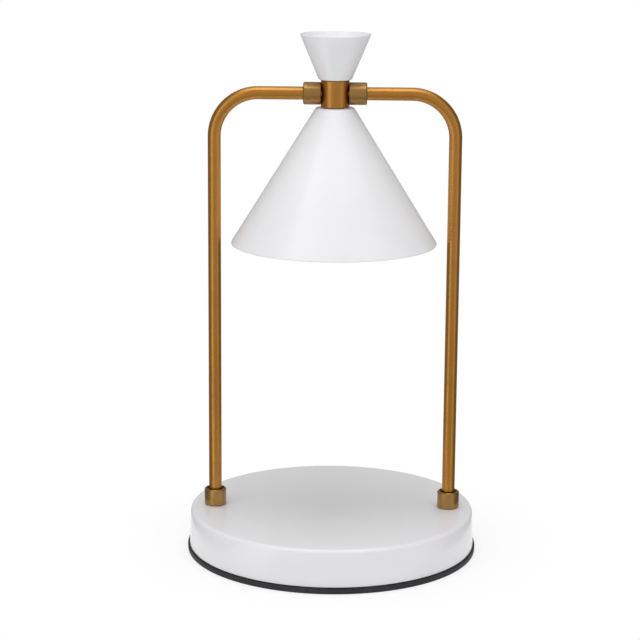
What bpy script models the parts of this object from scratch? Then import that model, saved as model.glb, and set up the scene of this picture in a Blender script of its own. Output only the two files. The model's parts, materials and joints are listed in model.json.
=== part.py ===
"""Candle warmer lamp: a round base, two bent brass arms and a tilting head with shade, cup and bulb.

Metres, +Z up, origin on the table under the centre of the base. The front faces -Y, the cord grommet +Y.
"""

import math

import bmesh
import bpy
from mathutils import Matrix, Vector

MM = 0.001

# Clearances
GAP = 0.3 * MM
OVERRUN = 2.0 * MM
WELD = 0.0003 * MM

# Base
BASE_HEIGHT = 27.0 * MM
BASE_TOP_RADIUS = 89.2 * MM
BASE_FLARE = 1.0 * MM
BASE_EDGE_ROUND = 2.5 * MM
BASE_WALL = 1.6 * MM

# Rubber pad, a disc with a ring foot
PAD_LIP = 1.1 * MM
PAD_HEIGHT = 3.7 * MM
PAD_EDGE_ROUND = 0.9 * MM
PAD_RING_WIDTH = 25.3 * MM
PAD_RECESS_DEPTH = 0.8 * MM

# Bottom plate and weight
PLATE_THICKNESS = 1.2 * MM
WEIGHT_INSET = 11.2 * MM
WEIGHT_THICKNESS = 8.0 * MM
WEIGHT_CHAMFER = 1.5 * MM
BOSS_RADIUS = 5.0 * MM
BOSS_INSET = 49.2 * MM
BOSS_COUNT = 3
FIRST_BOSS_ANGLE = math.radians(-90.0)
NUT_POCKET_RADIUS = 9.5 * MM
NUT_POCKET_DEPTH = 3.8 * MM

# M4 screws of the bottom plate and the terminal block
SCREW_RADIUS = 2.0 * MM
SCREW_LENGTH = 9.0 * MM
SCREW_HEAD_RADIUS = 3.6 * MM
SCREW_HEAD_HEIGHT = 0.8 * MM
SCREW_SLOT_WIDTH = 1.0 * MM
SCREW_SLOT_DEPTH = 0.5 * MM

# Cord grommet in the rear wall
GROMMET_HEIGHT = 13.5 * MM
GROMMET_BORE_RADIUS = 3.4 * MM
GROMMET_NECK_RADIUS = 5.0 * MM
GROMMET_FLANGE_RADIUS = 7.0 * MM
GROMMET_FLANGE_THICKNESS = 1.1 * MM

# Terminal block
BLOCK_WIDTH = 22.0 * MM
BLOCK_DEPTH = 15.0 * MM
BLOCK_HEIGHT = 9.0 * MM
BLOCK_INSET = 27.2 * MM
BLOCK_EDGE = 0.8 * MM
BLOCK_WIRE_RADIUS = 1.8 * MM
BLOCK_WIRE_SPACING = 7.0 * MM
BLOCK_WIRE_DEPTH = 5.0 * MM
BLOCK_SCREW_DEPTH = 4.0 * MM

# Arms, bent from round tube
ARM_INSET = 15.2 * MM
ARM_RADIUS = 4.0 * MM
ARM_WALL = 0.9 * MM
ARM_BEND_RADIUS = 27.0 * MM
PIVOT_HEIGHT = 289.4 * MM

# Collars: the foot ferrules and the knuckles are the same turning outside
COLLAR_RADIUS = 6.9 * MM
COLLAR_LENGTH = 10.4 * MM
COLLAR_CHAMFER = 0.6 * MM
COLLAR_WEB = 2.5 * MM
COLLAR_RECESS_WIDTH = 1.5 * MM
COLLAR_RECESS_DEPTH = 1.6 * MM
CAVITY_RADIUS = 5.0 * MM
CAVITY_LENGTH = 3.4 * MM

# Foot nipple, washer and nut
NIPPLE_RADIUS = 2.8 * MM
NIPPLE_BORE_RADIUS = 1.8 * MM
NIPPLE_REACH = 22.0 * MM
FOOT_WASHER_RADIUS = 7.5 * MM
FOOT_WASHER_THICKNESS = 1.2 * MM
FOOT_NUT_FLATS = 10.0 * MM
FOOT_NUT_THICKNESS = 4.2 * MM
THREAD_SHOW = 0.6 * MM

# Hub, pivot stubs and friction washers
HUB_RADIUS = 8.8 * MM
HUB_HEIGHT = 16.5 * MM
HUB_CHAMFER = 0.4 * MM
STUB_RADIUS = 2.9 * MM
STUB_BORE_RADIUS = 1.9 * MM
STUB_FLANGE_RADIUS = 4.6 * MM
STUB_FLANGE_THICKNESS = 1.2 * MM
TILT_WASHER_THICKNESS = 0.6 * MM

# Threaded rod through the head and the nuts on it
ROD_RADIUS = 5.0 * MM
ROD_BORE_RADIUS = 3.4 * MM
ROD_SIDE_HOLE_RADIUS = 2.1 * MM
ROD_NUT_FLATS = 14.0 * MM
ROD_NUT_THICKNESS = 4.0 * MM
CUP_NUT_THICKNESS = 3.5 * MM
ROD_WASHER_RADIUS = 8.0 * MM
ROD_WASHER_THICKNESS = 1.1 * MM

# Cup on top
CUP_RIM_RADIUS = 21.8 * MM
CUP_FOOT_RADIUS = 10.1 * MM
CUP_HEIGHT = 27.7 * MM
CUP_WALL = 1.2 * MM
CUP_FLOOR = 1.5 * MM
CUP_FOOT_ROUND = 1.0 * MM

# Shade
SHADE_ARM_SPACE = 6.1 * MM
SHADE_TOP_RADIUS = 11.7 * MM
SHADE_HEIGHT = 84.2 * MM
SHADE_WALL = 1.2 * MM
SHADE_TOP_ROUND = 1.6 * MM

# Lampholder and its steel cap
HOLDER_RADIUS = 13.5 * MM
HOLDER_HEIGHT = 18.5 * MM
HOLDER_EDGE = 1.0 * MM
HOLDER_CAP_WALL = 1.0 * MM
HOLDER_CAP_TOP_RADIUS = 9.6 * MM
HOLDER_CAP_DEPTH = 18.4 * MM
HOLDER_OVERLAP = 7.0 * MM
HOLDER_SCREW_RADIUS = 1.5 * MM
HOLDER_SCREW_HEAD_RADIUS = 2.8 * MM
HOLDER_SCREW_HEAD_HEIGHT = 1.4 * MM
HOLDER_SCREW_BITE = 4.0 * MM
PIN_SLOT_DEPTH = 8.0 * MM

# Twist-lock reflector bulb
BULB_CAP_RADIUS = 12.0 * MM
BULB_CAP_WAIST_RADIUS = 10.6 * MM
BULB_CAP_HEIGHT = 17.0 * MM
BULB_CAP_WIDE_SHARE = 0.55
BULB_CAP_WAIST_SHARE = 0.45
BULB_BODY_HEIGHT = 45.5 * MM
BULB_FACE_RADIUS = 25.0 * MM
BULB_FACE_RIM = 3.0 * MM
BULB_GLASS = 1.4 * MM
BULB_THROAT_RADIUS = 8.4 * MM
LENS_THICKNESS = 1.6 * MM
LENS_RECESS = 0.6 * MM
CAPSULE_RADIUS = 4.2 * MM
CAPSULE_LENGTH = 19.0 * MM
PIN_SPACING = 10.0 * MM
PIN_RADIUS = 1.5 * MM
PIN_HEAD_RADIUS = 2.5 * MM
PIN_HEAD_LENGTH = 3.2 * MM
PIN_LENGTH = 7.0 * MM
PIN_SEAT_DEPTH = 3.0 * MM
UNLOCK_ANGLE = math.radians(22.0)

# Sleeved leads
LEAD_RADIUS = 1.2 * MM
LEAD_BEND_RADIUS = 4.8 * MM
LEAD_HEIGHT = 7.0 * MM

# Facet counts
BASE_SIDES = 64
SHADE_SIDES = 48
TUBE_SIDES = 16
COLLAR_SIDES = 24
SMALL_SIDES = 12
BEND_STEPS = 8
ROUND_STEPS = 3
SLOT_STEPS = 6
LEAD_STEPS = 5

# Sizes, heights and places that follow from the sizes above
BASE_FOOT_RADIUS = BASE_TOP_RADIUS + BASE_FLARE
PAD_RADIUS = BASE_FOOT_RADIUS + PAD_LIP
PAD_RECESS_RADIUS = PAD_RADIUS - PAD_RING_WIDTH
WEIGHT_RADIUS = BASE_TOP_RADIUS - WEIGHT_INSET
BOSS_CIRCLE_RADIUS = BASE_TOP_RADIUS - BOSS_INSET
BLOCK_CENTRE_Y = BASE_TOP_RADIUS - BLOCK_INSET
PAD_SEAT_Z = PAD_HEIGHT + GAP
PLATE_TOP_Z = PAD_SEAT_Z + PLATE_THICKNESS
SHELL_HEIGHT = BASE_HEIGHT - PAD_SEAT_Z
WEIGHT_TOP_Z = BASE_HEIGHT - BASE_WALL - GAP
WEIGHT_BOTTOM_Z = WEIGHT_TOP_Z - WEIGHT_THICKNESS
POCKET_TOP_Z = WEIGHT_BOTTOM_Z + NUT_POCKET_DEPTH
FOOT_WASHER_Z = POCKET_TOP_Z - GAP - FOOT_WASHER_THICKNESS
FOOT_NUT_Z = FOOT_WASHER_Z - GAP - FOOT_NUT_THICKNESS
NIPPLE_BOTTOM_Z = FOOT_NUT_Z - THREAD_SHOW
FERRULE_Z = BASE_HEIGHT + GAP
ARM_FOOT_Z = FERRULE_Z + COLLAR_WEB + GAP
ARM_X = BASE_TOP_RADIUS - ARM_INSET
SHADE_RIM_RADIUS = ARM_X - ARM_RADIUS - SHADE_ARM_SPACE
KNUCKLE_X = HUB_RADIUS + GAP
ARM_END_X = KNUCKLE_X + COLLAR_WEB + CAVITY_LENGTH + GAP
STUB_INNER_X = ROD_RADIUS + 2 * GAP
HUB_BOTTOM_Z = PIVOT_HEIGHT - HUB_HEIGHT / 2
HUB_TOP_Z = PIVOT_HEIGHT + HUB_HEIGHT / 2
SHADE_TOP_Z = HUB_BOTTOM_Z - GAP
CUP_FOOT_Z = HUB_TOP_Z + GAP
CUP_WASHER_Z = CUP_FOOT_Z + CUP_FLOOR + GAP
CUP_NUT_Z = CUP_WASHER_Z + ROD_WASHER_THICKNESS + GAP
ROD_TOP_Z = CUP_NUT_Z + CUP_NUT_THICKNESS + THREAD_SHOW
HOLDER_CAP_TOP_Z = SHADE_TOP_Z - SHADE_WALL - GAP
SHADE_WASHER_Z = HOLDER_CAP_TOP_Z - HOLDER_CAP_WALL - GAP - ROD_WASHER_THICKNESS
SHADE_NUT_Z = SHADE_WASHER_Z - GAP - ROD_NUT_THICKNESS
ROD_BOTTOM_Z = SHADE_NUT_Z - THREAD_SHOW
HOLDER_TOP_Z = HOLDER_CAP_TOP_Z - HOLDER_CAP_DEPTH + HOLDER_OVERLAP
HOLDER_BOTTOM_Z = HOLDER_TOP_Z - HOLDER_HEIGHT
HOLDER_SCREW_Z = HOLDER_TOP_Z - HOLDER_OVERLAP / 2
HOLDER_CAP_SKIRT_RADIUS = HOLDER_RADIUS + GAP + HOLDER_CAP_WALL
BULB_TOP_Z = HOLDER_BOTTOM_Z - GAP
BULB_FACE_Z = BULB_TOP_Z - BULB_BODY_HEIGHT


def main():
    clear_scene()
    stand = empty("stand_frame", (0.0, 0.0, 0.0))
    head = empty("head_pivot", (0.0, 0.0, PIVOT_HEIGHT))
    bulb = empty("bulb_axis", (0.0, 0.0, BULB_TOP_Z), head)
    paint = finish("white_paint", (0.86, 0.86, 0.85), 0.45, 0.0)
    brass = finish("antique_brass", (0.60, 0.38, 0.17), 0.32, 1.0)
    rubber = finish("black_rubber", (0.03, 0.03, 0.033), 0.7, 0.0)
    iron = finish("cast_iron", (0.12, 0.12, 0.12), 0.8, 0.6)
    steel = finish("zinc_steel", (0.60, 0.60, 0.58), 0.35, 1.0)
    nylon = finish("cream_nylon", (0.80, 0.76, 0.66), 0.5, 0.0)
    silicone = finish("lead_silicone", (0.75, 0.74, 0.70), 0.6, 0.0)
    ceramic = finish("white_ceramic", (0.82, 0.80, 0.76), 0.35, 0.0)
    glass = finish("bulb_glass", (0.90, 0.92, 0.94), 0.08, 0.0)
    mirror = finish("bulb_mirror", (0.86, 0.86, 0.88), 0.15, 1.0)

    add_base(stand, paint, rubber, iron, steel)
    add_terminal_block(stand, nylon, steel)
    for side, word in ((-1.0, "left"), (1.0, "right")):
        add_foot(stand, side, word, brass, steel)
        add_arm(stand, side, word, brass)
        add_knuckle(stand, head, side, word, brass, steel)
    add_hub_and_rod(head, brass)
    add_cup(head, paint, brass, steel)
    add_shade(head, paint, steel)
    add_lampholder(head, ceramic, steel)
    add_leads(stand, head, silicone)
    add_bulb(bulb, ceramic, steel, glass, mirror)


def clear_scene():
    for item in list(bpy.data.objects):
        bpy.data.objects.remove(item, do_unlink=True)


def empty(name, place, parent=None):
    item = bpy.data.objects.new(name, None)
    bpy.context.collection.objects.link(item)
    hold(item, parent, place)
    return item


def hold(item, parent, place):
    """Parents the object and puts its origin at a place given in the lamp's own frame."""
    item.location = Vector(place)
    if parent:
        item.parent = parent
        bpy.context.view_layer.update()
        item.location = Vector(place) - parent.matrix_world.translation


def finish(name, colour, roughness, metallic):
    material = bpy.data.materials.new(name)
    material.use_nodes = True
    shader = material.node_tree.nodes["Principled BSDF"]
    shader.inputs["Base Color"].default_value = (*colour, 1.0)
    shader.inputs["Roughness"].default_value = roughness
    shader.inputs["Metallic"].default_value = metallic
    material.diffuse_color = (*colour, 1.0)
    return material


def add_mesh(name, form, parent, place, material, turn=(0.0, 0.0, 0.0)):
    """Makes an object of a bmesh, smooth but for its sharp edges."""
    bmesh.ops.recalc_face_normals(form, faces=form.faces)
    mesh = bpy.data.meshes.new(name)
    form.to_mesh(mesh)
    form.free()
    mesh.shade_smooth()
    mesh.set_sharp_from_angle(angle=math.radians(30.0))
    item = bpy.data.objects.new(name, mesh)
    bpy.context.collection.objects.link(item)
    item.rotation_euler = turn
    hold(item, parent, place)
    if material:
        mesh.materials.append(material)
    return item


def turned_form(outline, sides, closed):
    """Spins an outline of (radius, height) points about Z."""
    form = bmesh.new()
    points = [form.verts.new((radius, 0.0, height)) for radius, height in outline]
    pairs = list(zip(points[:-1], points[1:]))
    if closed:
        pairs.append((points[-1], points[0]))
    edges = [form.edges.new(pair) for pair in pairs]
    bmesh.ops.spin(
        form,
        geom=points + edges,
        cent=(0.0, 0.0, 0.0),
        axis=(0.0, 0.0, 1.0),
        angle=math.tau,
        steps=sides,
        use_merge=True,
    )
    bmesh.ops.remove_doubles(form, verts=form.verts, dist=WELD)
    return form


def turned(name, outline, sides, parent, place, material, closed=False, turn=(0.0, 0.0, 0.0)):
    return add_mesh(name, turned_form(outline, sides, closed), parent, place, material, turn)


def ring(name, inner, outer, thickness, sides, parent, place, material, turn=(0.0, 0.0, 0.0)):
    """A flat ring that stands on its place."""
    outline = ((inner, 0.0), (outer, 0.0), (outer, thickness), (inner, thickness))
    return turned(name, outline, sides, parent, place, material, True, turn)


def arc(centre_radius, centre_height, radius, start, end, steps=ROUND_STEPS):
    """Points of (radius, height) along an arc whose angles count from outwards, turning up."""
    points = []
    for step in range(steps + 1):
        angle = math.radians(start + (end - start) * step / steps)
        points.append((centre_radius + radius * math.cos(angle), centre_height + radius * math.sin(angle)))
    return points


def turned_cutter(name, outline, place, parent, turn=(0.0, 0.0, 0.0)):
    """A turned cutter, its facets a quarter step round so that none lines up with an edge of what it cuts."""
    form = turned_form(outline, SMALL_SIDES, False)
    quarter = Matrix.Rotation(math.tau / SMALL_SIDES / 4, 4, "Z")
    bmesh.ops.transform(form, matrix=quarter, verts=form.verts)
    return as_cutter(add_mesh("cut_" + name, form, parent, place, None, turn))


def cylinder_cutter(name, radius, depth, place, parent, turn=(0.0, 0.0, 0.0)):
    """A cutter that starts at its place and runs along its own Z."""
    outline = ((0.0, 0.0), (radius, 0.0), (radius, depth), (0.0, depth))
    return turned_cutter(name, outline, place, parent, turn)


def box_cutter(name, size, place, parent, turn=(0.0, 0.0, 0.0)):
    form = bmesh.new()
    bmesh.ops.create_cube(form, size=1.0, matrix=Matrix.Diagonal((*size, 1.0)))
    return as_cutter(add_mesh("cut_" + name, form, parent, place, None, turn))


def as_cutter(item):
    item.hide_render = True
    item.display_type = "WIRE"
    return item


def combine(item, tool, operation="DIFFERENCE"):
    modifier = item.modifiers.new(tool.name, "BOOLEAN")
    modifier.operation = operation
    modifier.solver = "EXACT"
    modifier.object = tool


def hex_nut(name, flats, thickness, bore, parent, place, material):
    """A hexagon nut with turned corners, its flats square to X."""
    corner = flats / math.sqrt(3.0)
    form = bmesh.new()
    bmesh.ops.create_cone(
        form,
        cap_ends=True,
        segments=6,
        radius1=corner,
        radius2=corner,
        depth=thickness,
        matrix=Matrix.Translation((0.0, 0.0, thickness / 2)) @ Matrix.Rotation(math.pi / 6, 4, "Z"),
    )
    nut = add_mesh(name, form, parent, place, material)
    hole_place = (place[0], place[1], place[2] - OVERRUN)
    combine(nut, cylinder_cutter(name, bore, thickness + 2 * OVERRUN, hole_place, parent))
    return nut


def boss_places():
    for index in range(BOSS_COUNT):
        angle = FIRST_BOSS_ANGLE + math.tau * index / BOSS_COUNT
        yield BOSS_CIRCLE_RADIUS * math.cos(angle), BOSS_CIRCLE_RADIUS * math.sin(angle)


def wall_radius(height):
    """The base wall's outer radius at a height above the table."""
    share = (height - PAD_SEAT_Z) / (SHELL_HEIGHT - BASE_EDGE_ROUND)
    return BASE_FOOT_RADIUS + (BASE_TOP_RADIUS - BASE_FOOT_RADIUS) * share


def add_base(stand, paint, rubber, iron, steel):
    inner_round = BASE_EDGE_ROUND - BASE_WALL
    edge_radius = BASE_TOP_RADIUS - BASE_EDGE_ROUND
    edge_height = SHELL_HEIGHT - BASE_EDGE_ROUND
    outline = [(0.0, SHELL_HEIGHT)]
    outline += arc(edge_radius, edge_height, BASE_EDGE_ROUND, 90.0, 0.0, 2 * ROUND_STEPS)
    outline += [(BASE_FOOT_RADIUS, 0.0), (BASE_FOOT_RADIUS - BASE_WALL, 0.0)]
    outline += arc(edge_radius, edge_height, inner_round, 0.0, 90.0)
    outline += [(0.0, SHELL_HEIGHT - BASE_WALL)]
    shell = turned("base_shell", outline, BASE_SIDES, stand, (0.0, 0.0, PAD_SEAT_Z), paint)
    for side, word in ((-1.0, "left"), (1.0, "right")):
        place = (side * ARM_X, 0.0, WEIGHT_TOP_Z - OVERRUN)
        depth = BASE_WALL + 3 * OVERRUN
        combine(shell, cylinder_cutter("shell_" + word, NIPPLE_RADIUS + GAP, depth, place, stand))
    wall_place = (0.0, BASE_TOP_RADIUS - BASE_WALL - 2 * OVERRUN, GROMMET_HEIGHT)
    backwards = (math.radians(-90.0), 0.0, 0.0)
    cutter = cylinder_cutter(
        "shell_rear", GROMMET_NECK_RADIUS + GAP, BASE_WALL + 4 * OVERRUN, wall_place, stand, backwards
    )
    combine(shell, cutter)
    add_grommet(stand, rubber, backwards)

    outline = [(0.0, PAD_RECESS_DEPTH), (PAD_RECESS_RADIUS, PAD_RECESS_DEPTH), (PAD_RECESS_RADIUS, 0.0)]
    outline += arc(PAD_RADIUS - PAD_EDGE_ROUND, PAD_EDGE_ROUND, PAD_EDGE_ROUND, -90.0, 0.0)
    outline += [(PAD_RADIUS, PAD_HEIGHT), (0.0, PAD_HEIGHT)]
    turned("base_pad", outline, BASE_SIDES, stand, (0.0, 0.0, 0.0), rubber)

    plate_radius = wall_radius(PLATE_TOP_Z) - BASE_WALL - GAP
    outline = ((0.0, 0.0), (plate_radius, 0.0), (plate_radius, PLATE_THICKNESS), (0.0, PLATE_THICKNESS))
    plate = turned("bottom_plate", outline, BASE_SIDES, stand, (0.0, 0.0, PAD_SEAT_Z), steel)

    bevel = WEIGHT_CHAMFER
    outline = (
        (0.0, WEIGHT_THICKNESS),
        (WEIGHT_RADIUS - bevel, WEIGHT_THICKNESS),
        (WEIGHT_RADIUS, WEIGHT_THICKNESS - bevel),
        (WEIGHT_RADIUS, bevel),
        (WEIGHT_RADIUS - bevel, 0.0),
        (0.0, 0.0),
    )
    weight = turned("base_weight", outline, BASE_SIDES, stand, (0.0, 0.0, WEIGHT_BOTTOM_Z), iron)
    boss_foot = PLATE_TOP_Z + GAP
    for index, (x, y) in enumerate(boss_places()):
        depth = WEIGHT_BOTTOM_Z + WEIGHT_THICKNESS / 2 - boss_foot
        boss = cylinder_cutter(f"boss_{index}", BOSS_RADIUS, depth, (x, y, boss_foot), stand)
        combine(weight, boss, "UNION")
    for index, (x, y) in enumerate(boss_places()):
        thread_length = SCREW_LENGTH + OVERRUN + GAP
        thread_place = (x, y, boss_foot - OVERRUN)
        combine(weight, cylinder_cutter(f"thread_{index}", SCREW_RADIUS + GAP, thread_length, thread_place, stand))
        outline = stepped(SCREW_HEAD_RADIUS + GAP, SCREW_HEAD_HEIGHT, SCREW_RADIUS + GAP, PLATE_THICKNESS)
        combine(plate, turned_cutter(f"plate_{index}", outline, (x, y, PAD_SEAT_Z), stand))
        add_bottom_screw(index, x, y, stand, steel)
    for side, word in ((-1.0, "left"), (1.0, "right")):
        outline = stepped(NUT_POCKET_RADIUS, NUT_POCKET_DEPTH, NIPPLE_RADIUS + GAP, WEIGHT_THICKNESS)
        place = (side * ARM_X, 0.0, WEIGHT_BOTTOM_Z)
        combine(weight, turned_cutter("pocket_" + word, outline, place, stand))


def stepped(wide_radius, step_height, narrow_radius, height):
    """The outline of a cutter for a hole with a wider mouth below."""
    return (
        (0.0, -OVERRUN),
        (wide_radius, -OVERRUN),
        (wide_radius, step_height),
        (narrow_radius, step_height),
        (narrow_radius, height + OVERRUN),
        (0.0, height + OVERRUN),
    )


def add_grommet(stand, rubber, turn):
    """A rubber bush with a flange on each side of the rear wall."""
    outer_face = PAD_RADIUS
    wall_outside = wall_radius(GROMMET_HEIGHT)
    flange_start = outer_face - GROMMET_FLANGE_THICKNESS
    sag = wall_outside - math.sqrt(wall_outside ** 2 - (GROMMET_FLANGE_RADIUS + GAP) ** 2)
    inner_seat = wall_outside - BASE_WALL - sag - 2 * GAP
    inner_face = inner_seat - GROMMET_FLANGE_THICKNESS
    length = outer_face - inner_face
    outline = (
        (GROMMET_BORE_RADIUS, 0.0),
        (GROMMET_FLANGE_RADIUS, 0.0),
        (GROMMET_FLANGE_RADIUS, inner_seat - inner_face),
        (GROMMET_NECK_RADIUS, inner_seat - inner_face),
        (GROMMET_NECK_RADIUS, flange_start - inner_face),
        (GROMMET_FLANGE_RADIUS, flange_start - inner_face),
        (GROMMET_FLANGE_RADIUS, length),
        (GROMMET_BORE_RADIUS, length),
    )
    turned("cord_grommet", outline, COLLAR_SIDES, stand, (0.0, inner_face, GROMMET_HEIGHT), rubber, True, turn)


def add_bottom_screw(index, x, y, stand, steel):
    """A countersunk-flat screw, driven from below, with a slotted head."""
    outline = (
        (0.0, 0.0),
        (SCREW_HEAD_RADIUS, 0.0),
        (SCREW_HEAD_RADIUS, SCREW_HEAD_HEIGHT - GAP),
        (SCREW_RADIUS, SCREW_HEAD_HEIGHT - GAP),
        (SCREW_RADIUS, SCREW_LENGTH),
        (0.0, SCREW_LENGTH),
    )
    name = f"bottom_screw_{index + 1}"
    screw = turned(name, outline, SMALL_SIDES, stand, (x, y, PAD_SEAT_Z), steel)
    size = (2 * SCREW_HEAD_RADIUS + OVERRUN, SCREW_SLOT_WIDTH, 2 * SCREW_SLOT_DEPTH)
    combine(screw, box_cutter(name, size, (x, y, PAD_SEAT_Z), stand))


def add_terminal_block(stand, nylon, steel):
    low = PLATE_TOP_Z + GAP
    form = bmesh.new()
    size = Matrix.Diagonal((BLOCK_WIDTH, BLOCK_DEPTH, BLOCK_HEIGHT, 1.0))
    bmesh.ops.create_cube(form, size=1.0, matrix=Matrix.Translation((0.0, 0.0, BLOCK_HEIGHT / 2)) @ size)
    upright = [edge for edge in form.edges if abs(edge.verts[0].co.z - edge.verts[1].co.z) > GAP]
    bmesh.ops.bevel(form, geom=upright, offset=BLOCK_EDGE, segments=1, affect="EDGES")
    block = add_mesh("terminal_block", form, stand, (0.0, BLOCK_CENTRE_Y, low), nylon)
    for side, word in ((-1.0, "left"), (1.0, "right")):
        x = side * BLOCK_WIRE_SPACING
        down = low + BLOCK_HEIGHT - BLOCK_SCREW_DEPTH
        well = cylinder_cutter(
            "well_" + word, BLOCK_WIRE_RADIUS, BLOCK_SCREW_DEPTH + OVERRUN, (x, BLOCK_CENTRE_Y, down), stand
        )
        combine(block, well)
        rear = (x, BLOCK_CENTRE_Y + BLOCK_DEPTH / 2 - BLOCK_WIRE_DEPTH, low + BLOCK_HEIGHT / 2 - GAP)
        wire = cylinder_cutter(
            "wire_" + word, BLOCK_WIRE_RADIUS, BLOCK_WIRE_DEPTH + OVERRUN, rear, stand,
            (math.radians(-90.0), 0.0, 0.0)
        )
        combine(block, wire)
    through = cylinder_cutter(
        "block_screw", SCREW_RADIUS + GAP, BLOCK_HEIGHT + 2 * OVERRUN, (0.0, BLOCK_CENTRE_Y, low - OVERRUN), stand
    )
    combine(block, through)
    outline = (
        (0.0, 0.0),
        (SCREW_RADIUS, 0.0),
        (SCREW_RADIUS, BLOCK_HEIGHT + GAP),
        (SCREW_HEAD_RADIUS, BLOCK_HEIGHT + GAP),
        (SCREW_HEAD_RADIUS, BLOCK_HEIGHT + GAP + SCREW_HEAD_HEIGHT),
        (0.0, BLOCK_HEIGHT + GAP + SCREW_HEAD_HEIGHT),
    )
    turned("block_screw", outline, SMALL_SIDES, stand, (0.0, BLOCK_CENTRE_Y, low), steel)


def add_foot(stand, side, word, brass, steel):
    """A ferrule with a shallow recess round the tube, and what clamps it to the base."""
    x = side * ARM_X
    recess_radius = ARM_RADIUS + COLLAR_RECESS_WIDTH
    recess_floor = COLLAR_LENGTH - COLLAR_RECESS_DEPTH
    outline = (
        (NIPPLE_RADIUS + GAP, 0.0),
        (COLLAR_RADIUS, 0.0),
        (COLLAR_RADIUS, COLLAR_LENGTH - COLLAR_CHAMFER),
        (COLLAR_RADIUS - COLLAR_CHAMFER, COLLAR_LENGTH),
        (recess_radius, COLLAR_LENGTH),
        (recess_radius, recess_floor),
        (ARM_RADIUS + GAP, recess_floor),
        (ARM_RADIUS + GAP, COLLAR_WEB),
        (NIPPLE_RADIUS + GAP, COLLAR_WEB),
    )
    turned("foot_ferrule_" + word, outline, COLLAR_SIDES, stand, (x, 0.0, FERRULE_Z), brass, True)
    length = ARM_FOOT_Z + NIPPLE_REACH - NIPPLE_BOTTOM_Z
    ring("foot_nipple_" + word, NIPPLE_BORE_RADIUS, NIPPLE_RADIUS, length, SMALL_SIDES, stand,
         (x, 0.0, NIPPLE_BOTTOM_Z), steel)
    ring("foot_washer_" + word, NIPPLE_RADIUS + GAP, FOOT_WASHER_RADIUS, FOOT_WASHER_THICKNESS, SMALL_SIDES, stand,
         (x, 0.0, FOOT_WASHER_Z), steel)
    hex_nut("foot_nut_" + word, FOOT_NUT_FLATS, FOOT_NUT_THICKNESS, NIPPLE_RADIUS + GAP, stand,
            (x, 0.0, FOOT_NUT_Z), steel)


def add_arm(stand, side, word, brass):
    """A tube that rises from its ferrule, bends inwards and ends in its knuckle."""
    form = bmesh.new()
    circle = bmesh.ops.create_circle(form, segments=TUBE_SIDES, radius=ARM_RADIUS)["verts"]
    edges = list({edge for vert in circle for edge in vert.link_edges})
    straight = PIVOT_HEIGHT - ARM_BEND_RADIUS - ARM_FOOT_Z
    edges = extrude(form, edges, (0.0, 0.0, straight))
    bend_centre = Vector((-side * ARM_BEND_RADIUS, 0.0, straight))
    spun = bmesh.ops.spin(
        form,
        geom=edges + list({vert for edge in edges for vert in edge.verts}),
        cent=bend_centre,
        axis=(0.0, -side, 0.0),
        angle=math.radians(90.0),
        steps=BEND_STEPS,
    )
    edges = [item for item in spun["geom_last"] if isinstance(item, bmesh.types.BMEdge)]
    extrude(form, edges, (-side * (ARM_X - ARM_BEND_RADIUS - ARM_END_X), 0.0, 0.0))
    arm = add_mesh("arm_" + word, form, stand, (side * ARM_X, 0.0, ARM_FOOT_Z), brass)
    wall = arm.modifiers.new("wall", "SOLIDIFY")
    wall.thickness = ARM_WALL
    wall.offset = -1.0
    wall.use_even_offset = True


def extrude(form, edges, step):
    made = bmesh.ops.extrude_edge_only(form, edges=edges)["geom"]
    verts = [item for item in made if isinstance(item, bmesh.types.BMVert)]
    bmesh.ops.translate(form, verts=verts, vec=step)
    ends = set(verts)
    return [
        item for item in made if isinstance(item, bmesh.types.BMEdge) and all(vert in ends for vert in item.verts)
    ]


def add_knuckle(stand, head, side, word, brass, steel):
    """A collar on the tilt axis with its pivot stub and friction washer inside."""
    outwards = (0.0, side * math.radians(90.0), 0.0)
    seat = COLLAR_WEB + CAVITY_LENGTH
    outline = (
        (STUB_RADIUS + GAP, 0.0),
        (COLLAR_RADIUS - COLLAR_CHAMFER, 0.0),
        (COLLAR_RADIUS, COLLAR_CHAMFER),
        (COLLAR_RADIUS, COLLAR_LENGTH - COLLAR_CHAMFER),
        (COLLAR_RADIUS - COLLAR_CHAMFER, COLLAR_LENGTH),
        (ARM_RADIUS + GAP, COLLAR_LENGTH),
        (ARM_RADIUS + GAP, seat),
        (CAVITY_RADIUS, seat),
        (CAVITY_RADIUS, COLLAR_WEB),
        (STUB_RADIUS + GAP, COLLAR_WEB),
    )
    place = (side * KNUCKLE_X, 0.0, PIVOT_HEIGHT)
    turned("knuckle_" + word, outline, COLLAR_SIDES, stand, place, brass, True, outwards)
    washer_x = KNUCKLE_X + COLLAR_WEB + GAP
    ring("tilt_washer_" + word, STUB_RADIUS + GAP, STUB_FLANGE_RADIUS, TILT_WASHER_THICKNESS, SMALL_SIDES, stand,
         (side * washer_x, 0.0, PIVOT_HEIGHT), steel, outwards)
    flange = washer_x + TILT_WASHER_THICKNESS + GAP - STUB_INNER_X
    outline = (
        (STUB_BORE_RADIUS, 0.0),
        (STUB_RADIUS, 0.0),
        (STUB_RADIUS, flange),
        (STUB_FLANGE_RADIUS, flange),
        (STUB_FLANGE_RADIUS, flange + STUB_FLANGE_THICKNESS),
        (STUB_BORE_RADIUS, flange + STUB_FLANGE_THICKNESS),
    )
    turned("pivot_stub_" + word, outline, SMALL_SIDES, head, (side * STUB_INNER_X, 0.0, PIVOT_HEIGHT), steel, True,
           outwards)


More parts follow.
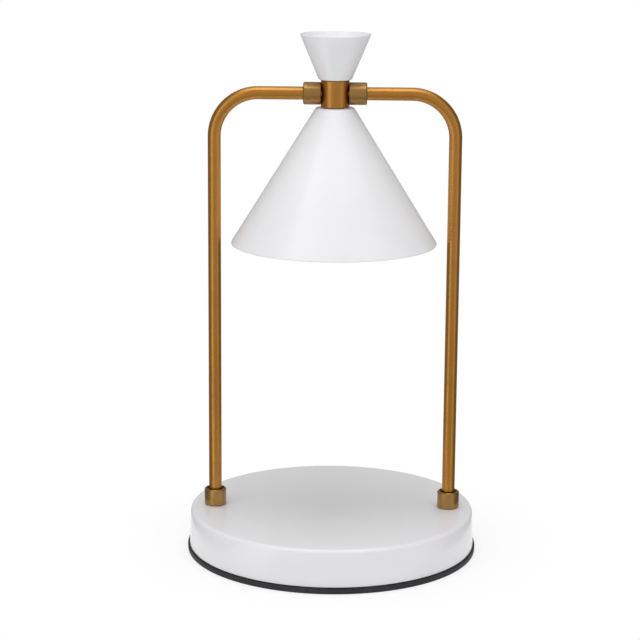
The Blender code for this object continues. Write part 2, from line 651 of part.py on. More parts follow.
def add_hub_and_rod(head, brass):
    outline = (
        (ROD_RADIUS + GAP, 0.0),
        (HUB_RADIUS - HUB_CHAMFER, 0.0),
        (HUB_RADIUS, HUB_CHAMFER),
        (HUB_RADIUS, HUB_HEIGHT - HUB_CHAMFER),
        (HUB_RADIUS - HUB_CHAMFER, HUB_HEIGHT),
        (ROD_RADIUS + GAP, HUB_HEIGHT),
    )
    hub = turned("hub", outline, COLLAR_SIDES, head, (0.0, 0.0, HUB_BOTTOM_Z), brass, True)
    reach = HUB_RADIUS + OVERRUN
    across = (0.0, math.radians(90.0), 0.0)
    combine(hub, cylinder_cutter("hub_cross", STUB_RADIUS + GAP, 2 * reach, (-reach, 0.0, PIVOT_HEIGHT), head,
                                 across))
    rod = ring("head_rod", ROD_BORE_RADIUS, ROD_RADIUS, ROD_TOP_Z - ROD_BOTTOM_Z, COLLAR_SIDES, head,
               (0.0, 0.0, ROD_BOTTOM_Z), brass)
    combine(rod, cylinder_cutter("rod_cross", ROD_SIDE_HOLE_RADIUS, 2 * reach, (-reach, 0.0, PIVOT_HEIGHT), head,
                                 across))


def cone_wall(slope_radius, height, wall):
    """How far a cone's inner face lies inside its outer one, measured level."""
    return wall * math.hypot(slope_radius, height) / height


def add_cup(head, paint, brass, steel):
    rise = CUP_RIM_RADIUS - CUP_FOOT_RADIUS
    inset = cone_wall(rise, CUP_HEIGHT, CUP_WALL)
    slope = rise / CUP_HEIGHT
    lean = math.degrees(math.atan(slope))
    round_centre = CUP_FOOT_RADIUS + slope * CUP_FOOT_ROUND - CUP_FOOT_ROUND / math.cos(math.radians(lean))
    outline = [(ROD_RADIUS + GAP, 0.0)]
    outline += arc(round_centre, CUP_FOOT_ROUND, CUP_FOOT_ROUND, -90.0, -lean)
    outline += [
        (CUP_RIM_RADIUS, CUP_HEIGHT),
        (CUP_RIM_RADIUS - inset, CUP_HEIGHT),
        (CUP_FOOT_RADIUS + slope * CUP_FLOOR - inset, CUP_FLOOR),
        (ROD_RADIUS + GAP, CUP_FLOOR),
    ]
    turned("finial_cup", outline, SHADE_SIDES, head, (0.0, 0.0, CUP_FOOT_Z), paint, True)
    ring("cup_washer", ROD_RADIUS + GAP, ROD_WASHER_RADIUS, ROD_WASHER_THICKNESS, COLLAR_SIDES, head,
         (0.0, 0.0, CUP_WASHER_Z), steel)
    hex_nut("cup_nut", ROD_NUT_FLATS, CUP_NUT_THICKNESS, ROD_RADIUS + GAP, head, (0.0, 0.0, CUP_NUT_Z), brass)


def add_shade(head, paint, steel):
    rise = SHADE_RIM_RADIUS - SHADE_TOP_RADIUS
    inset = cone_wall(rise, SHADE_HEIGHT, SHADE_WALL)
    slope = rise / SHADE_HEIGHT
    lean = math.degrees(math.atan(slope))
    round_centre = SHADE_TOP_RADIUS + slope * SHADE_TOP_ROUND - SHADE_TOP_ROUND / math.cos(math.radians(lean))
    outline = [(ROD_RADIUS + GAP, 0.0)]
    outline += arc(round_centre, -SHADE_TOP_ROUND, SHADE_TOP_ROUND, 90.0, lean)
    outline += [
        (SHADE_RIM_RADIUS, -SHADE_HEIGHT),
        (SHADE_RIM_RADIUS - inset, -SHADE_HEIGHT),
        (SHADE_TOP_RADIUS + slope * SHADE_WALL - inset, -SHADE_WALL),
        (ROD_RADIUS + GAP, -SHADE_WALL),
    ]
    turned("shade", outline, SHADE_SIDES, head, (0.0, 0.0, SHADE_TOP_Z), paint, True)
    ring("shade_washer", ROD_RADIUS + GAP, ROD_WASHER_RADIUS, ROD_WASHER_THICKNESS, COLLAR_SIDES, head,
         (0.0, 0.0, SHADE_WASHER_Z), steel)
    hex_nut("shade_nut", ROD_NUT_FLATS, ROD_NUT_THICKNESS, ROD_RADIUS + GAP, head, (0.0, 0.0, SHADE_NUT_Z), steel)


def add_lampholder(head, ceramic, steel):
    """A steel cap under the shade's top, the ceramic holder in it and the two screws between them."""
    flare = HOLDER_CAP_SKIRT_RADIUS - HOLDER_CAP_TOP_RADIUS
    flare_height = flare * SHADE_HEIGHT / (SHADE_RIM_RADIUS - SHADE_TOP_RADIUS)
    inset = cone_wall(flare, flare_height, HOLDER_CAP_WALL)
    slope = flare / flare_height
    outline = (
        (ROD_RADIUS + GAP, 0.0),
        (HOLDER_CAP_TOP_RADIUS, 0.0),
        (HOLDER_CAP_SKIRT_RADIUS, -flare_height),
        (HOLDER_CAP_SKIRT_RADIUS, -HOLDER_CAP_DEPTH),
        (HOLDER_CAP_SKIRT_RADIUS - HOLDER_CAP_WALL, -HOLDER_CAP_DEPTH),
        (HOLDER_CAP_SKIRT_RADIUS - HOLDER_CAP_WALL, -flare_height - (inset - HOLDER_CAP_WALL) / slope),
        (HOLDER_CAP_TOP_RADIUS + slope * HOLDER_CAP_WALL - inset, -HOLDER_CAP_WALL),
        (ROD_RADIUS + GAP, -HOLDER_CAP_WALL),
    )
    cap = turned("holder_cap", outline, COLLAR_SIDES, head, (0.0, 0.0, HOLDER_CAP_TOP_Z), steel, True)
    outline = (
        (0.0, HOLDER_HEIGHT),
        (HOLDER_RADIUS - HOLDER_EDGE, HOLDER_HEIGHT),
        (HOLDER_RADIUS, HOLDER_HEIGHT - HOLDER_EDGE),
        (HOLDER_RADIUS, HOLDER_EDGE),
        (HOLDER_RADIUS - HOLDER_EDGE, 0.0),
        (0.0, 0.0),
    )
    holder = turned("lampholder", outline, COLLAR_SIDES, head, (0.0, 0.0, HOLDER_BOTTOM_Z), ceramic)
    for facing, word in ((-1.0, "front"), (1.0, "rear")):
        turn = (-facing * math.radians(90.0), 0.0, 0.0)
        start = facing * (HOLDER_RADIUS - HOLDER_SCREW_BITE)
        length = HOLDER_CAP_SKIRT_RADIUS + GAP - abs(start)
        hole = cylinder_cutter(
            "side_" + word, HOLDER_SCREW_RADIUS + GAP, length + OVERRUN,
            (0.0, facing * (abs(start) - GAP), HOLDER_SCREW_Z), head, turn
        )
        combine(holder, hole)
        combine(cap, hole)
        outline = (
            (0.0, 0.0),
            (HOLDER_SCREW_RADIUS, 0.0),
            (HOLDER_SCREW_RADIUS, length),
            (HOLDER_SCREW_HEAD_RADIUS, length),
            (HOLDER_SCREW_HEAD_RADIUS, length + HOLDER_SCREW_HEAD_HEIGHT),
            (0.0, length + HOLDER_SCREW_HEAD_HEIGHT),
        )
        turned("holder_screw_" + word, outline, SMALL_SIDES, head, (0.0, start, HOLDER_SCREW_Z), steel, False, turn)
    for side, word in ((-1.0, "left"), (1.0, "right")):
        combine(holder, pin_slot("slot_" + word, side, head))


def polar(radius, angle):
    return Vector((radius * math.cos(angle), radius * math.sin(angle)))


def half_round(centre, radius, start):
    """Points along half a circle, turning left from its start."""
    return [centre + polar(radius, start + math.pi * step / SLOT_STEPS) for step in range(SLOT_STEPS + 1)]


def pin_slot(name, side, head):
    """The curved slot that a bulb pin swings through: shut at the lock, long enough for the twist."""
    width = PIN_HEAD_RADIUS + GAP
    middle = PIN_SPACING / 2
    lock = 0.0 if side > 0 else math.pi
    unlock = lock - UNLOCK_ANGLE
    halfway = lock - UNLOCK_ANGLE / 2
    points = half_round(polar(middle, lock), width, lock)
    points.append(polar(middle - width, halfway))
    points += half_round(polar(middle, unlock), width, unlock + math.pi)
    points.append(polar(middle + width, halfway))
    form = bmesh.new()
    verts = [form.verts.new((point.x, point.y, -OVERRUN)) for point in points]
    face = form.faces.new(verts)
    made = bmesh.ops.extrude_face_region(form, geom=[face])["geom"]
    lifted = [item for item in made if isinstance(item, bmesh.types.BMVert)]
    bmesh.ops.translate(form, verts=lifted, vec=(0.0, 0.0, PIN_SLOT_DEPTH + OVERRUN))
    return as_cutter(add_mesh("cut_" + name, form, head, (0.0, 0.0, HOLDER_BOTTOM_Z), None))


def add_leads(stand, head, silicone):
    """The lead from the terminal block up the left arm, and the one from the pivot down the rod."""
    start_x = -BLOCK_WIDTH / 2 - GAP
    block_y = BLOCK_CENTRE_Y
    turn = LEAD_BEND_RADIUS
    route = [(start_x, block_y, LEAD_HEIGHT), (start_x - 2 * turn, block_y, LEAD_HEIGHT)]
    target = Vector((-ARM_X, 0.0, LEAD_HEIGHT))
    along = (target - Vector(route[-1])).normalized()
    route.append(tuple(target - along * turn))
    for step in range(1, LEAD_STEPS):
        angle = math.radians(90.0) * step / LEAD_STEPS
        point = target - along * turn * (1.0 - math.sin(angle))
        point.z = LEAD_HEIGHT + turn * (1.0 - math.cos(angle))
        route.append(tuple(point))
    corner_z = PIVOT_HEIGHT - ARM_BEND_RADIUS
    route += [(-ARM_X, 0.0, LEAD_HEIGHT + turn), (-ARM_X, 0.0, corner_z)]
    for step in range(1, BEND_STEPS + 1):
        angle = math.radians(90.0) * step / BEND_STEPS
        route.append(
            (
                -ARM_X + ARM_BEND_RADIUS * (1.0 - math.cos(angle)),
                0.0,
                corner_z + ARM_BEND_RADIUS * math.sin(angle),
            )
        )
    route.append((-HUB_RADIUS, 0.0, PIVOT_HEIGHT))
    add_lead("arm_lead", route, stand, (-ARM_X, 0.0, LEAD_HEIGHT), silicone)

    route = [(-HUB_RADIUS + GAP, 0.0, PIVOT_HEIGHT), (-turn, 0.0, PIVOT_HEIGHT)]
    for step in range(1, LEAD_STEPS + 1):
        angle = math.radians(90.0) * step / LEAD_STEPS
        route.append((-turn * (1.0 - math.sin(angle)), 0.0, PIVOT_HEIGHT - turn * (1.0 - math.cos(angle))))
    route.append((0.0, 0.0, HOLDER_TOP_Z + GAP))
    add_lead("head_lead", route, head, (0.0, 0.0, PIVOT_HEIGHT), silicone)


def add_lead(name, route, parent, place, material):
    curve = bpy.data.curves.new(name, "CURVE")
    curve.dimensions = "3D"
    curve.bevel_depth = LEAD_RADIUS
    curve.bevel_resolution = 2
    curve.use_fill_caps = True
    spline = curve.splines.new("POLY")
    spline.points.add(len(route) - 1)
    for point, at in zip(spline.points, route):
        point.co = (*(Vector(at) - Vector(place)), 1.0)
    item = bpy.data.objects.new(name, curve)
    bpy.context.collection.objects.link(item)
    hold(item, parent, place)
    curve.materials.append(material)
    return item


def add_bulb(bulb, ceramic, steel, glass, mirror):
    """A twist-lock reflector bulb, its face down."""
    cap_z = BULB_TOP_Z - BULB_CAP_HEIGHT
    neck = BULB_CAP_WAIST_RADIUS
    outline = (
        (0.0, BULB_CAP_HEIGHT),
        (BULB_CAP_RADIUS - HOLDER_EDGE, BULB_CAP_HEIGHT),
        (BULB_CAP_RADIUS, BULB_CAP_HEIGHT - HOLDER_EDGE),
        (BULB_CAP_RADIUS, BULB_CAP_HEIGHT * BULB_CAP_WIDE_SHARE),
        (neck, BULB_CAP_HEIGHT * BULB_CAP_WAIST_SHARE),
        (neck, 0.0),
        (0.0, 0.0),
    )
    cap = turned("bulb_cap", outline, COLLAR_SIDES, bulb, (0.0, 0.0, cap_z), ceramic)
    for side, word in ((-1.0, "left"), (1.0, "right")):
        x = side * PIN_SPACING / 2
        seat = cylinder_cutter(
            "pin_seat_" + word, PIN_RADIUS + GAP, PIN_SEAT_DEPTH + OVERRUN, (x, 0.0, BULB_TOP_Z - PIN_SEAT_DEPTH), bulb
        )
        combine(cap, seat)
        length = PIN_SEAT_DEPTH - GAP + PIN_LENGTH
        outline = (
            (0.0, 0.0),
            (PIN_RADIUS, 0.0),
            (PIN_RADIUS, length - PIN_HEAD_LENGTH),
            (PIN_HEAD_RADIUS, length - PIN_HEAD_LENGTH),
            (PIN_HEAD_RADIUS, length),
            (0.0, length),
        )
        turned("bulb_pin_" + word, outline, SMALL_SIDES, bulb, (x, 0.0, BULB_TOP_Z - PIN_SEAT_DEPTH + GAP), steel)

    throat_z = cap_z - GAP
    bowl_height = throat_z - BULB_FACE_Z - BULB_FACE_RIM
    outer = bowl_curve(neck, BULB_FACE_RADIUS, bowl_height)
    inner = bowl_curve(BULB_THROAT_RADIUS, BULB_FACE_RADIUS - BULB_GLASS, bowl_height - BULB_GLASS)
    outline = [(radius, BULB_FACE_RIM + height) for radius, height in outer]
    outline += [(BULB_FACE_RADIUS, 0.0), (BULB_FACE_RADIUS - BULB_GLASS, 0.0)]
    outline += [(radius, BULB_FACE_RIM + height) for radius, height in reversed(inner)]
    bore = CAPSULE_RADIUS + GAP
    outline += [(bore, BULB_FACE_RIM + bowl_height - BULB_GLASS), (bore, BULB_FACE_RIM + bowl_height)]
    turned("bulb_reflector", outline, 2 * SMALL_SIDES, bulb, (0.0, 0.0, BULB_FACE_Z), mirror, True)

    lens_radius = BULB_FACE_RADIUS - BULB_GLASS - GAP
    outline = ((0.0, 0.0), (lens_radius, 0.0), (lens_radius, LENS_THICKNESS), (0.0, LENS_THICKNESS))
    turned("bulb_lens", outline, 2 * SMALL_SIDES, bulb, (0.0, 0.0, BULB_FACE_Z + LENS_RECESS), glass)

    outline = [(0.0, CAPSULE_LENGTH), (CAPSULE_RADIUS, CAPSULE_LENGTH), (CAPSULE_RADIUS, CAPSULE_RADIUS)]
    outline += arc(0.0, CAPSULE_RADIUS, CAPSULE_RADIUS, 0.0, -90.0)[1:]
    turned("bulb_capsule", outline, SMALL_SIDES, bulb, (0.0, 0.0, throat_z - CAPSULE_LENGTH), glass)


def bowl_curve(top_radius, face_radius, height, steps=2 * ROUND_STEPS):
    """A reflector's side from its throat down to its rim, as a parabola."""
    points = []
    for step in range(steps + 1):
        share = step / steps
        radius = top_radius + (face_radius - top_radius) * share
        rise = (radius ** 2 - top_radius ** 2) / (face_radius ** 2 - top_radius ** 2)
        points.append((radius, height * (1.0 - rise)))
    return points


main()
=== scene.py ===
"""Candle warmer lamp: the finished looks of its pieces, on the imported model's frame, in metres."""

import json
import math

import bpy
from bpy.props import FloatProperty, FloatVectorProperty, IntProperty, PointerProperty
from bpy.types import Operator, Panel, PropertyGroup
from mathutils import Matrix, Vector

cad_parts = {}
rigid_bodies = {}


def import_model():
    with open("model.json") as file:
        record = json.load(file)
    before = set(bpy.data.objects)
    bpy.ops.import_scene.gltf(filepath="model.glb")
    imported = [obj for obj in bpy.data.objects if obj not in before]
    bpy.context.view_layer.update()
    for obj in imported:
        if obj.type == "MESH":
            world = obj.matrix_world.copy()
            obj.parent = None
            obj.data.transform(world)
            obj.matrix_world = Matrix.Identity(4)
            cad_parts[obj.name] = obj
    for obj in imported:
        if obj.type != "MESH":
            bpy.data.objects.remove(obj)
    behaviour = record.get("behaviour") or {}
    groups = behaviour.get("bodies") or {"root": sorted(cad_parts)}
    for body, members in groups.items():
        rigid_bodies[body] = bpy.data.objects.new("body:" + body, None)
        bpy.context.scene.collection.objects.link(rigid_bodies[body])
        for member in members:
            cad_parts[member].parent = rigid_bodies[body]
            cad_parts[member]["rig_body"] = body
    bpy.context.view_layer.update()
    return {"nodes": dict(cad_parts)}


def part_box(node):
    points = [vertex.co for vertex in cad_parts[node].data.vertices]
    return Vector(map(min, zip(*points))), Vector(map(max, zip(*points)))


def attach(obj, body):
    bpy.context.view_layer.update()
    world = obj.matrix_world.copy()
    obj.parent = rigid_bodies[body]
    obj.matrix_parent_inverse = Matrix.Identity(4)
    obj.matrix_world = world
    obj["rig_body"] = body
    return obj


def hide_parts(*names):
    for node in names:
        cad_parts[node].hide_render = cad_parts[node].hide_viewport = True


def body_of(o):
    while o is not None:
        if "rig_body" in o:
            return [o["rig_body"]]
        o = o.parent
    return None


bl_info = {
    "name": "Candle warmer lamp",
    "version": (1, 0, 0),
    "blender": (4, 5, 0),
    "location": "View3D > Sidebar > Warmer Lamp",
    "description": "Builds the finished pieces of a candle warmer lamp on its packed frame",
    "category": "Add Mesh",
}

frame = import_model()

MM = 0.001
CLEARANCE = 0.3 * MM
FULL_TURN = 2 * math.pi
UP = Vector((0.0, 0.0, 1.0))
RIGHT = Vector((1.0, 0.0, 0.0))
REAR = Vector((0.0, 1.0, 0.0))
SIDES = ((-1, "left"), (1, "right"))

WELD = 0.002 * MM
HAIR_ROUND = 0.15 * MM
FINE_ROUND = 0.2 * MM
SMALL_ROUND = 0.3 * MM
EASY_ROUND = 0.4 * MM
RIM_ROUND = 0.45 * MM
SOFT_ROUND = 0.6 * MM
BROAD_ROUND = 0.8 * MM

ROUND_STEP = math.radians(15.0)
BOWL_STEPS = 12
LEG_STEPS = 6
BEND_STEPS = 28
DRILL_STEPS = 32
REFLECTOR_STEPS = 36
SCREW_STEPS = 40
ROD_STEPS = 48
COLLAR_STEPS = 64
NUT_STEPS = 72
HUB_STEPS = 96

STUB_RADIUS = 2.9 * MM
COLLAR_WEB = 2.5 * MM
GROMMET_NECK = 5.0 * MM
NUT_FLATS = 14.0 * MM
NUT_SLOPE = 0.55
NUT_ANGLE = 20.0
FACET_ANGLE = 8.0
BULB_WAIST = 10.6 * MM


def low(node):
    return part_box(node)[0]


def high(node):
    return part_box(node)[1]


def radius_of(node):
    """Half of a node's width from left to right."""
    return (high(node).x - low(node).x) / 2


def height_of(node):
    return high(node).z - low(node).z


def middle_of(node, axis):
    """The middle of a node along x, y or z."""
    return (getattr(low(node), axis) + getattr(high(node), axis)) / 2


PIVOT_Z = middle_of("hub", "z")
ARM_X = middle_of("foot_ferrule_right", "x")
KNUCKLE_X = low("knuckle_right").x


# Settings


def length(name, description, default):
    """A setting that is a length."""
    return FloatProperty(
        name=name, description=description, default=default, min=0.0, unit="LENGTH", subtype="DISTANCE",
        precision=4,
    )


def power(name, description, default):
    """A setting that is a lamp's power."""
    return FloatProperty(name=name, description=description, default=default, min=0.0, unit="POWER")


def tint(name, description, default):
    """A setting that is a colour."""
    return FloatVectorProperty(
        name=name, description=description, default=default, min=0.0, max=1.0, size=3, subtype="COLOR"
    )


class WarmerLampSizes(PropertyGroup):
    base_top_radius: length("Base top radius", "Radius of the base at its rounded top edge", 89.2 * MM)
    base_foot_radius: length("Base foot radius", "Radius of the base at the pad", radius_of("base_shell"))
    base_edge: length("Base edge", "Round of the base's top edge", 2.5 * MM)
    base_sheet: length("Base sheet", "Thickness of the base's pressed sheet", 1.6 * MM)
    pad_radius: length("Pad radius", "Radius of the rubber pad", radius_of("base_pad"))
    pad_height: length("Pad height", "Thickness of the rubber pad", height_of("base_pad"))
    pad_foot: length("Pad foot", "Inner radius of the pad's ring foot", 66.0 * MM)
    grommet_radius: length("Grommet radius", "Radius of the cord grommet's flange", radius_of("cord_grommet"))
    grommet_bore: length("Grommet bore", "Radius of the cord grommet's bore", 3.4 * MM)
    collar_radius: length("Collar radius", "Radius of ferrules and knuckles", radius_of("foot_ferrule_left"))
    collar_length: length("Collar length", "Length of ferrules and knuckles", height_of("foot_ferrule_left"))
    collar_chamfer: length("Collar chamfer", "Chamfer on ferrules and knuckles", 0.6 * MM)
    tube_radius: length("Tube radius", "Radius of the arm tubes", 4.0 * MM)
    tube_wall: length("Tube wall", "Wall of the arm tubes", 0.9 * MM)
    bend_radius: length("Bend radius", "Radius of each arm's bend, at the tube's middle", 27.0 * MM)
    hub_radius: length("Hub radius", "Radius of the hub between the knuckles", radius_of("hub"))
    hub_edge: length("Hub edge", "Chamfer on the hub's edges", 0.4 * MM)
    rod_radius: length("Rod radius", "Radius of the threaded rod through the head", radius_of("head_rod"))
    rod_bore: length("Rod bore", "Radius of the threaded rod's bore", 3.4 * MM)
    cup_rim_radius: length("Cup rim radius", "Radius of the cup at its rim", radius_of("finial_cup"))
    cup_foot_radius: length("Cup foot radius", "Radius of the cup at its foot", 10.1 * MM)
    cup_wall: length("Cup wall", "Thickness of the cup's wall", 1.2 * MM)
    cup_floor: length("Cup floor", "Thickness of the cup's floor", 1.5 * MM)
    shade_rim_radius: length("Shade rim radius", "Radius of the shade at its rim", radius_of("shade"))
    shade_top_radius: length("Shade top radius", "Radius of the shade at its top", 11.7 * MM)
    shade_wall: length("Shade wall", "Thickness of the shade's wall", 1.2 * MM)
    holder_cap_radius: length("Holder cap radius", "Radius of the cap's skirt", radius_of("holder_cap"))
    holder_cap_top: length("Holder cap top", "Radius of the lampholder cap at its top", 9.6 * MM)
    holder_radius: length("Lampholder radius", "Radius of the ceramic lampholder", radius_of("lampholder"))
    bulb_face_radius: length("Bulb face radius", "Radius of the bulb's face", radius_of("bulb_reflector"))
    bulb_cap_radius: length("Bulb cap radius", "Radius of the bulb's ceramic cap", radius_of("bulb_cap"))


class WarmerLampColours(PropertyGroup):
    paint: tint("Paint", "Satin paint on the base, the shade and the cup", (0.80, 0.80, 0.815))
    brass: tint("Brass", "Polished high places of the aged brass", (0.56, 0.235, 0.012))
    patina: tint("Patina", "Darker places of the aged brass", (0.45, 0.175, 0.008))
    collar_brass: tint("Collar brass", "High places of ferrules and knuckles", (0.42, 0.215, 0.038))
    collar_patina: tint("Collar patina", "Darker places of ferrules and knuckles", (0.32, 0.155, 0.026))
    rubber: tint("Rubber", "Pad and cord grommet", (0.009, 0.009, 0.010))
    steel: tint("Steel", "Zinc plated steel pieces", (0.62, 0.62, 0.60))
    iron: tint("Iron", "Cast iron weight", (0.055, 0.053, 0.052))
    ceramic: tint("Ceramic", "Lampholder and bulb cap", (0.78, 0.76, 0.70))
    nylon: tint("Nylon", "Terminal block", (0.72, 0.67, 0.55))
    silicone: tint("Silicone", "Sleeved leads", (0.66, 0.65, 0.61))
    mirror: tint("Mirror", "Reflector of the bulb", (0.86, 0.86, 0.88))


class WarmerLampStudio(PropertyGroup):
    key_power: power("Key power", "Large soft lamp at the left front", 2.6)
    fill_power: power("Fill power", "Soft lamp at the right", 0.7)
    top_power: power("Top power", "Soft lamp overhead", 9.4)
    ambient: FloatProperty(
        name="Ambient", description="Light from all round on matt surfaces", default=0.67, min=0.0, max=2.0
    )
    turning_steps: IntProperty(
        name="Turning steps", description="Facets round a large turned piece", default=144, min=24, max=256
    )


# Modelling by hand, in steps


def drawn(name, points, closed=False):
    """A line from place to place, drawn vertex by vertex and left selected in edit mode."""
    bpy.ops.object.select_all(action="DESELECT")
    bpy.ops.mesh.primitive_plane_add(size=MM, location=(0.0, 0.0, 0.0))
    item = bpy.context.object
    item.name = name
    item.data.name = name
    bpy.ops.object.mode_set(mode="EDIT")
    bpy.ops.mesh.merge(type="CENTER")
    bpy.ops.transform.translate(value=points[0])
    ends = points[1:] + points[:1] if closed else points[1:]
    for before, after in zip(points, ends):
        bpy.ops.mesh.extrude_vertices_move(TRANSFORM_OT_translate={"value": after - before})
    bpy.ops.mesh.select_all(action="SELECT")
    return item


def weld():
    """Joins what meets in the mesh being edited, turns its faces outwards and leaves edit mode."""
    bpy.ops.mesh.select_all(action="SELECT")
    bpy.ops.mesh.remove_doubles(threshold=WELD)
    bpy.ops.mesh.normals_make_consistent(inside=False)
    bpy.ops.object.mode_set(mode="OBJECT")


def softened(outline, closed):
    """An outline whose points with a third number are rounded to that radius."""
    points = []
    count = len(outline)
    for index, entry in enumerate(outline):
        corner = Vector(entry[:2])
        at_end = not closed and index in (0, count - 1)
        if len(entry) == 2 or at_end:
            points.append(corner)
            continue
        before = Vector(outline[index - 1][:2]) - corner
        after = Vector(outline[(index + 1) % count][:2]) - corner
        opening = before.angle(after)
        reach = entry[2] / math.tan(opening / 2)
        start = corner + before.normalized() * reach
        end = corner + after.normalized() * reach
        inwards = (before.normalized() + after.normalized()).normalized()
        middle = corner + inwards * (entry[2] / math.sin(opening / 2))
        arm = start - middle
        swing = arm.angle_signed(end - middle)
        steps = max(3, math.ceil(abs(swing) / ROUND_STEP))
        for step in range(steps + 1):
            turned = arm.copy()
            turned.rotate(Matrix.Rotation(-swing * step / steps, 2))
            points.append(middle + turned)
    return points


def turning(name, outline, place, steps, axis=UP):
    """A turned piece: (radius, height) points, spun about an axis through a place. An outline that
    starts off the axis is closed."""
    place = Vector(place)
    closed = outline[0][0] > 0.0
    across = RIGHT if axis.z else UP
    points = [place + across * radius + axis * height for radius, height in softened(outline, closed)]
    item = drawn(name, points, closed)
    bpy.ops.mesh.spin(steps=steps, angle=FULL_TURN, center=place, axis=axis)
    weld()
    return item


def pick(item):
    """Makes an object the active one and the only one selected."""
    bpy.ops.object.select_all(action="DESELECT")
    bpy.context.view_layer.objects.active = item
    item.select_set(True)


def apply_modifier(item, kind, **settings):
    """Adds a modifier, sets it and applies it."""
    pick(item)
    modifier = item.modifiers.new(kind.lower(), kind)
    for key, value in settings.items():
        setattr(modifier, key, value)
    bpy.ops.object.modifier_apply(modifier=modifier.name)


def cut(item, tool, operation="DIFFERENCE"):
    """Cuts a piece with a closed tool, which is then removed."""
    apply_modifier(item, "BOOLEAN", object=tool, operation=operation, solver="EXACT")
    bpy.data.objects.remove(tool, do_unlink=True)


def drill(item, radius, depth, place, axis=UP, steps=DRILL_STEPS):
    """A round hole that starts at a place and runs along an axis."""
    outline = ((0.0, 0.0), (radius, 0.0), (radius, depth), (0.0, depth))
    cut(item, turning("drill", outline, place, steps, axis))


def complete(item, node, look, angle=35.0):
    """Smooths a piece, gives it its finish, and lets it stand for its CAD node on that node's body."""
    pick(item)
    bpy.ops.object.shade_smooth_by_angle(angle=math.radians(angle))
    wear(item, look)
    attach(item, body_of(frame["nodes"][node])[0])
    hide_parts(node)


def turned_piece(name, node, outline, steps, look, angle=35.0):
    """A finished piece on the lamp's own axis. Its outline's heights start at its node's foot."""
    item = turning(name, outline, (0.0, 0.0, low(node).z), steps)
    complete(item, node, look, angle)


# Finishes


NOISE_SPAN = (0.3, 0.7)
CELL_SPAN = (0.0, 1.0)


def emptied(owner):
    """The nodes and links of a material or a world, with its first nodes taken out."""
    owner.use_nodes = True
    owner.node_tree.nodes.clear()
    return owner.node_tree.nodes, owner.node_tree.links


def fill(node, values):
    """Sets a node's inputs by name."""
    for key, value in values.items():
        node.inputs[key].default_value = value


def maths(nodes, links, operation, first, second):
    """A math node's result from two sockets."""
    node = nodes.new("ShaderNodeMath")
    node.operation = operation
    links.new(first, node.inputs[0])
    links.new(second, node.inputs[1])
    return node.outputs["Value"]


class Finish:
    """A node material that is built up step by step around one Principled shader."""

    def __init__(self, name):
        self.material = bpy.data.materials.new(name)
        self.nodes, self.links = emptied(self.material)
        self.shader = self.nodes.new("ShaderNodeBsdfPrincipled")
        output = self.nodes.new("ShaderNodeOutputMaterial")
        self.links.new(self.shader.outputs["BSDF"], output.inputs["Surface"])
        self.place = self.nodes.new("ShaderNodeTexCoord").outputs["Object"]

    def constants(self, **values):
        """Numbers that are the same all over, set on the shader's own sockets."""
        for key, value in values.items():
            self.shader.inputs[key.replace("_", " ").title().replace("Ior", "IOR")].default_value = value
        return self

    def stretched(self, scale):
        """Object coordinates with each axis scaled."""
        mapping = self.nodes.new("ShaderNodeMapping")
        mapping.inputs["Scale"].default_value = scale
        self.links.new(self.place, mapping.inputs["Vector"])
        return mapping.outputs["Vector"]

    def noise(self, scale, detail=3.0, roughness=0.5, grain=(1.0, 1.0, 1.0)):
        """Noise with a number of cells per metre, drawn out where an axis of the grain is under 1."""
        texture = self.nodes.new("ShaderNodeTexNoise")
        fill(texture, {"Scale": scale, "Detail": detail, "Roughness": roughness})
        self.links.new(self.stretched(grain), texture.inputs["Vector"])
        return texture.outputs["Fac"]

    def cells(self, scale):
        """The distance to the middle of a cell, with a number of cells per metre."""
        texture = self.nodes.new("ShaderNodeTexVoronoi")
        texture.inputs["Scale"].default_value = scale
        self.links.new(self.place, texture.inputs["Vector"])
        return texture.outputs["Distance"]

    def spread(self, value, start, end, new_start, new_end):
        """A value moved from one range to another."""
        node = self.nodes.new("ShaderNodeMapRange")
        fill(node, {"From Min": start, "From Max": end, "To Min": new_start, "To Max": new_end})
        self.links.new(value, node.inputs["Value"])
        return node.outputs["Result"]

    def blended(self, factor, first, second):
        """Two colours mixed by a factor."""
        node = self.nodes.new("ShaderNodeMix")
        node.data_type = "RGBA"
        self.links.new(factor, node.inputs["Factor"])
        for index, colour in ((6, first), (7, second)):
            if isinstance(colour, bpy.types.NodeSocket):
                self.links.new(colour, node.inputs[index])
            else:
                node.inputs[index].default_value = (*colour, 1.0)
        return node.outputs[2]

    def relief(self, height, depth):
        """A bump of a depth in metres on the shader."""
        node = self.nodes.new("ShaderNodeBump")
        fill(node, {"Strength": 1.0, "Distance": depth})
        self.links.new(height, node.inputs["Height"])
        self.links.new(node.outputs["Normal"], self.shader.inputs["Normal"])
        return self

    def colour(self, value):
        self.links.new(value, self.shader.inputs["Base Color"])
        return self

    def roughness(self, value, start, end, span=NOISE_SPAN):
        """A roughness that runs from start to end over a value's span."""
        self.links.new(self.spread(value, *span, start, end), self.shader.inputs["Roughness"])
        return self


def darker(colour, share):
    return tuple(channel * share for channel in colour)


def paint_finish(name, colour):
    """Satin powder paint: a fine orange peel and a faint cloudiness."""
    paint = Finish(name)
    cloud = paint.noise(28.0, 4.0)
    paint.colour(paint.blended(paint.spread(cloud, 0.35, 0.65, 0.0, 1.0), darker(colour, 0.975), colour))
    peel = paint.noise(620.0, 2.0, 0.45)
    paint.roughness(peel, 0.36, 0.46)
    paint.relief(peel, 0.035 * MM)
    return paint.constants(coat_weight=0.7, coat_roughness=0.15).material


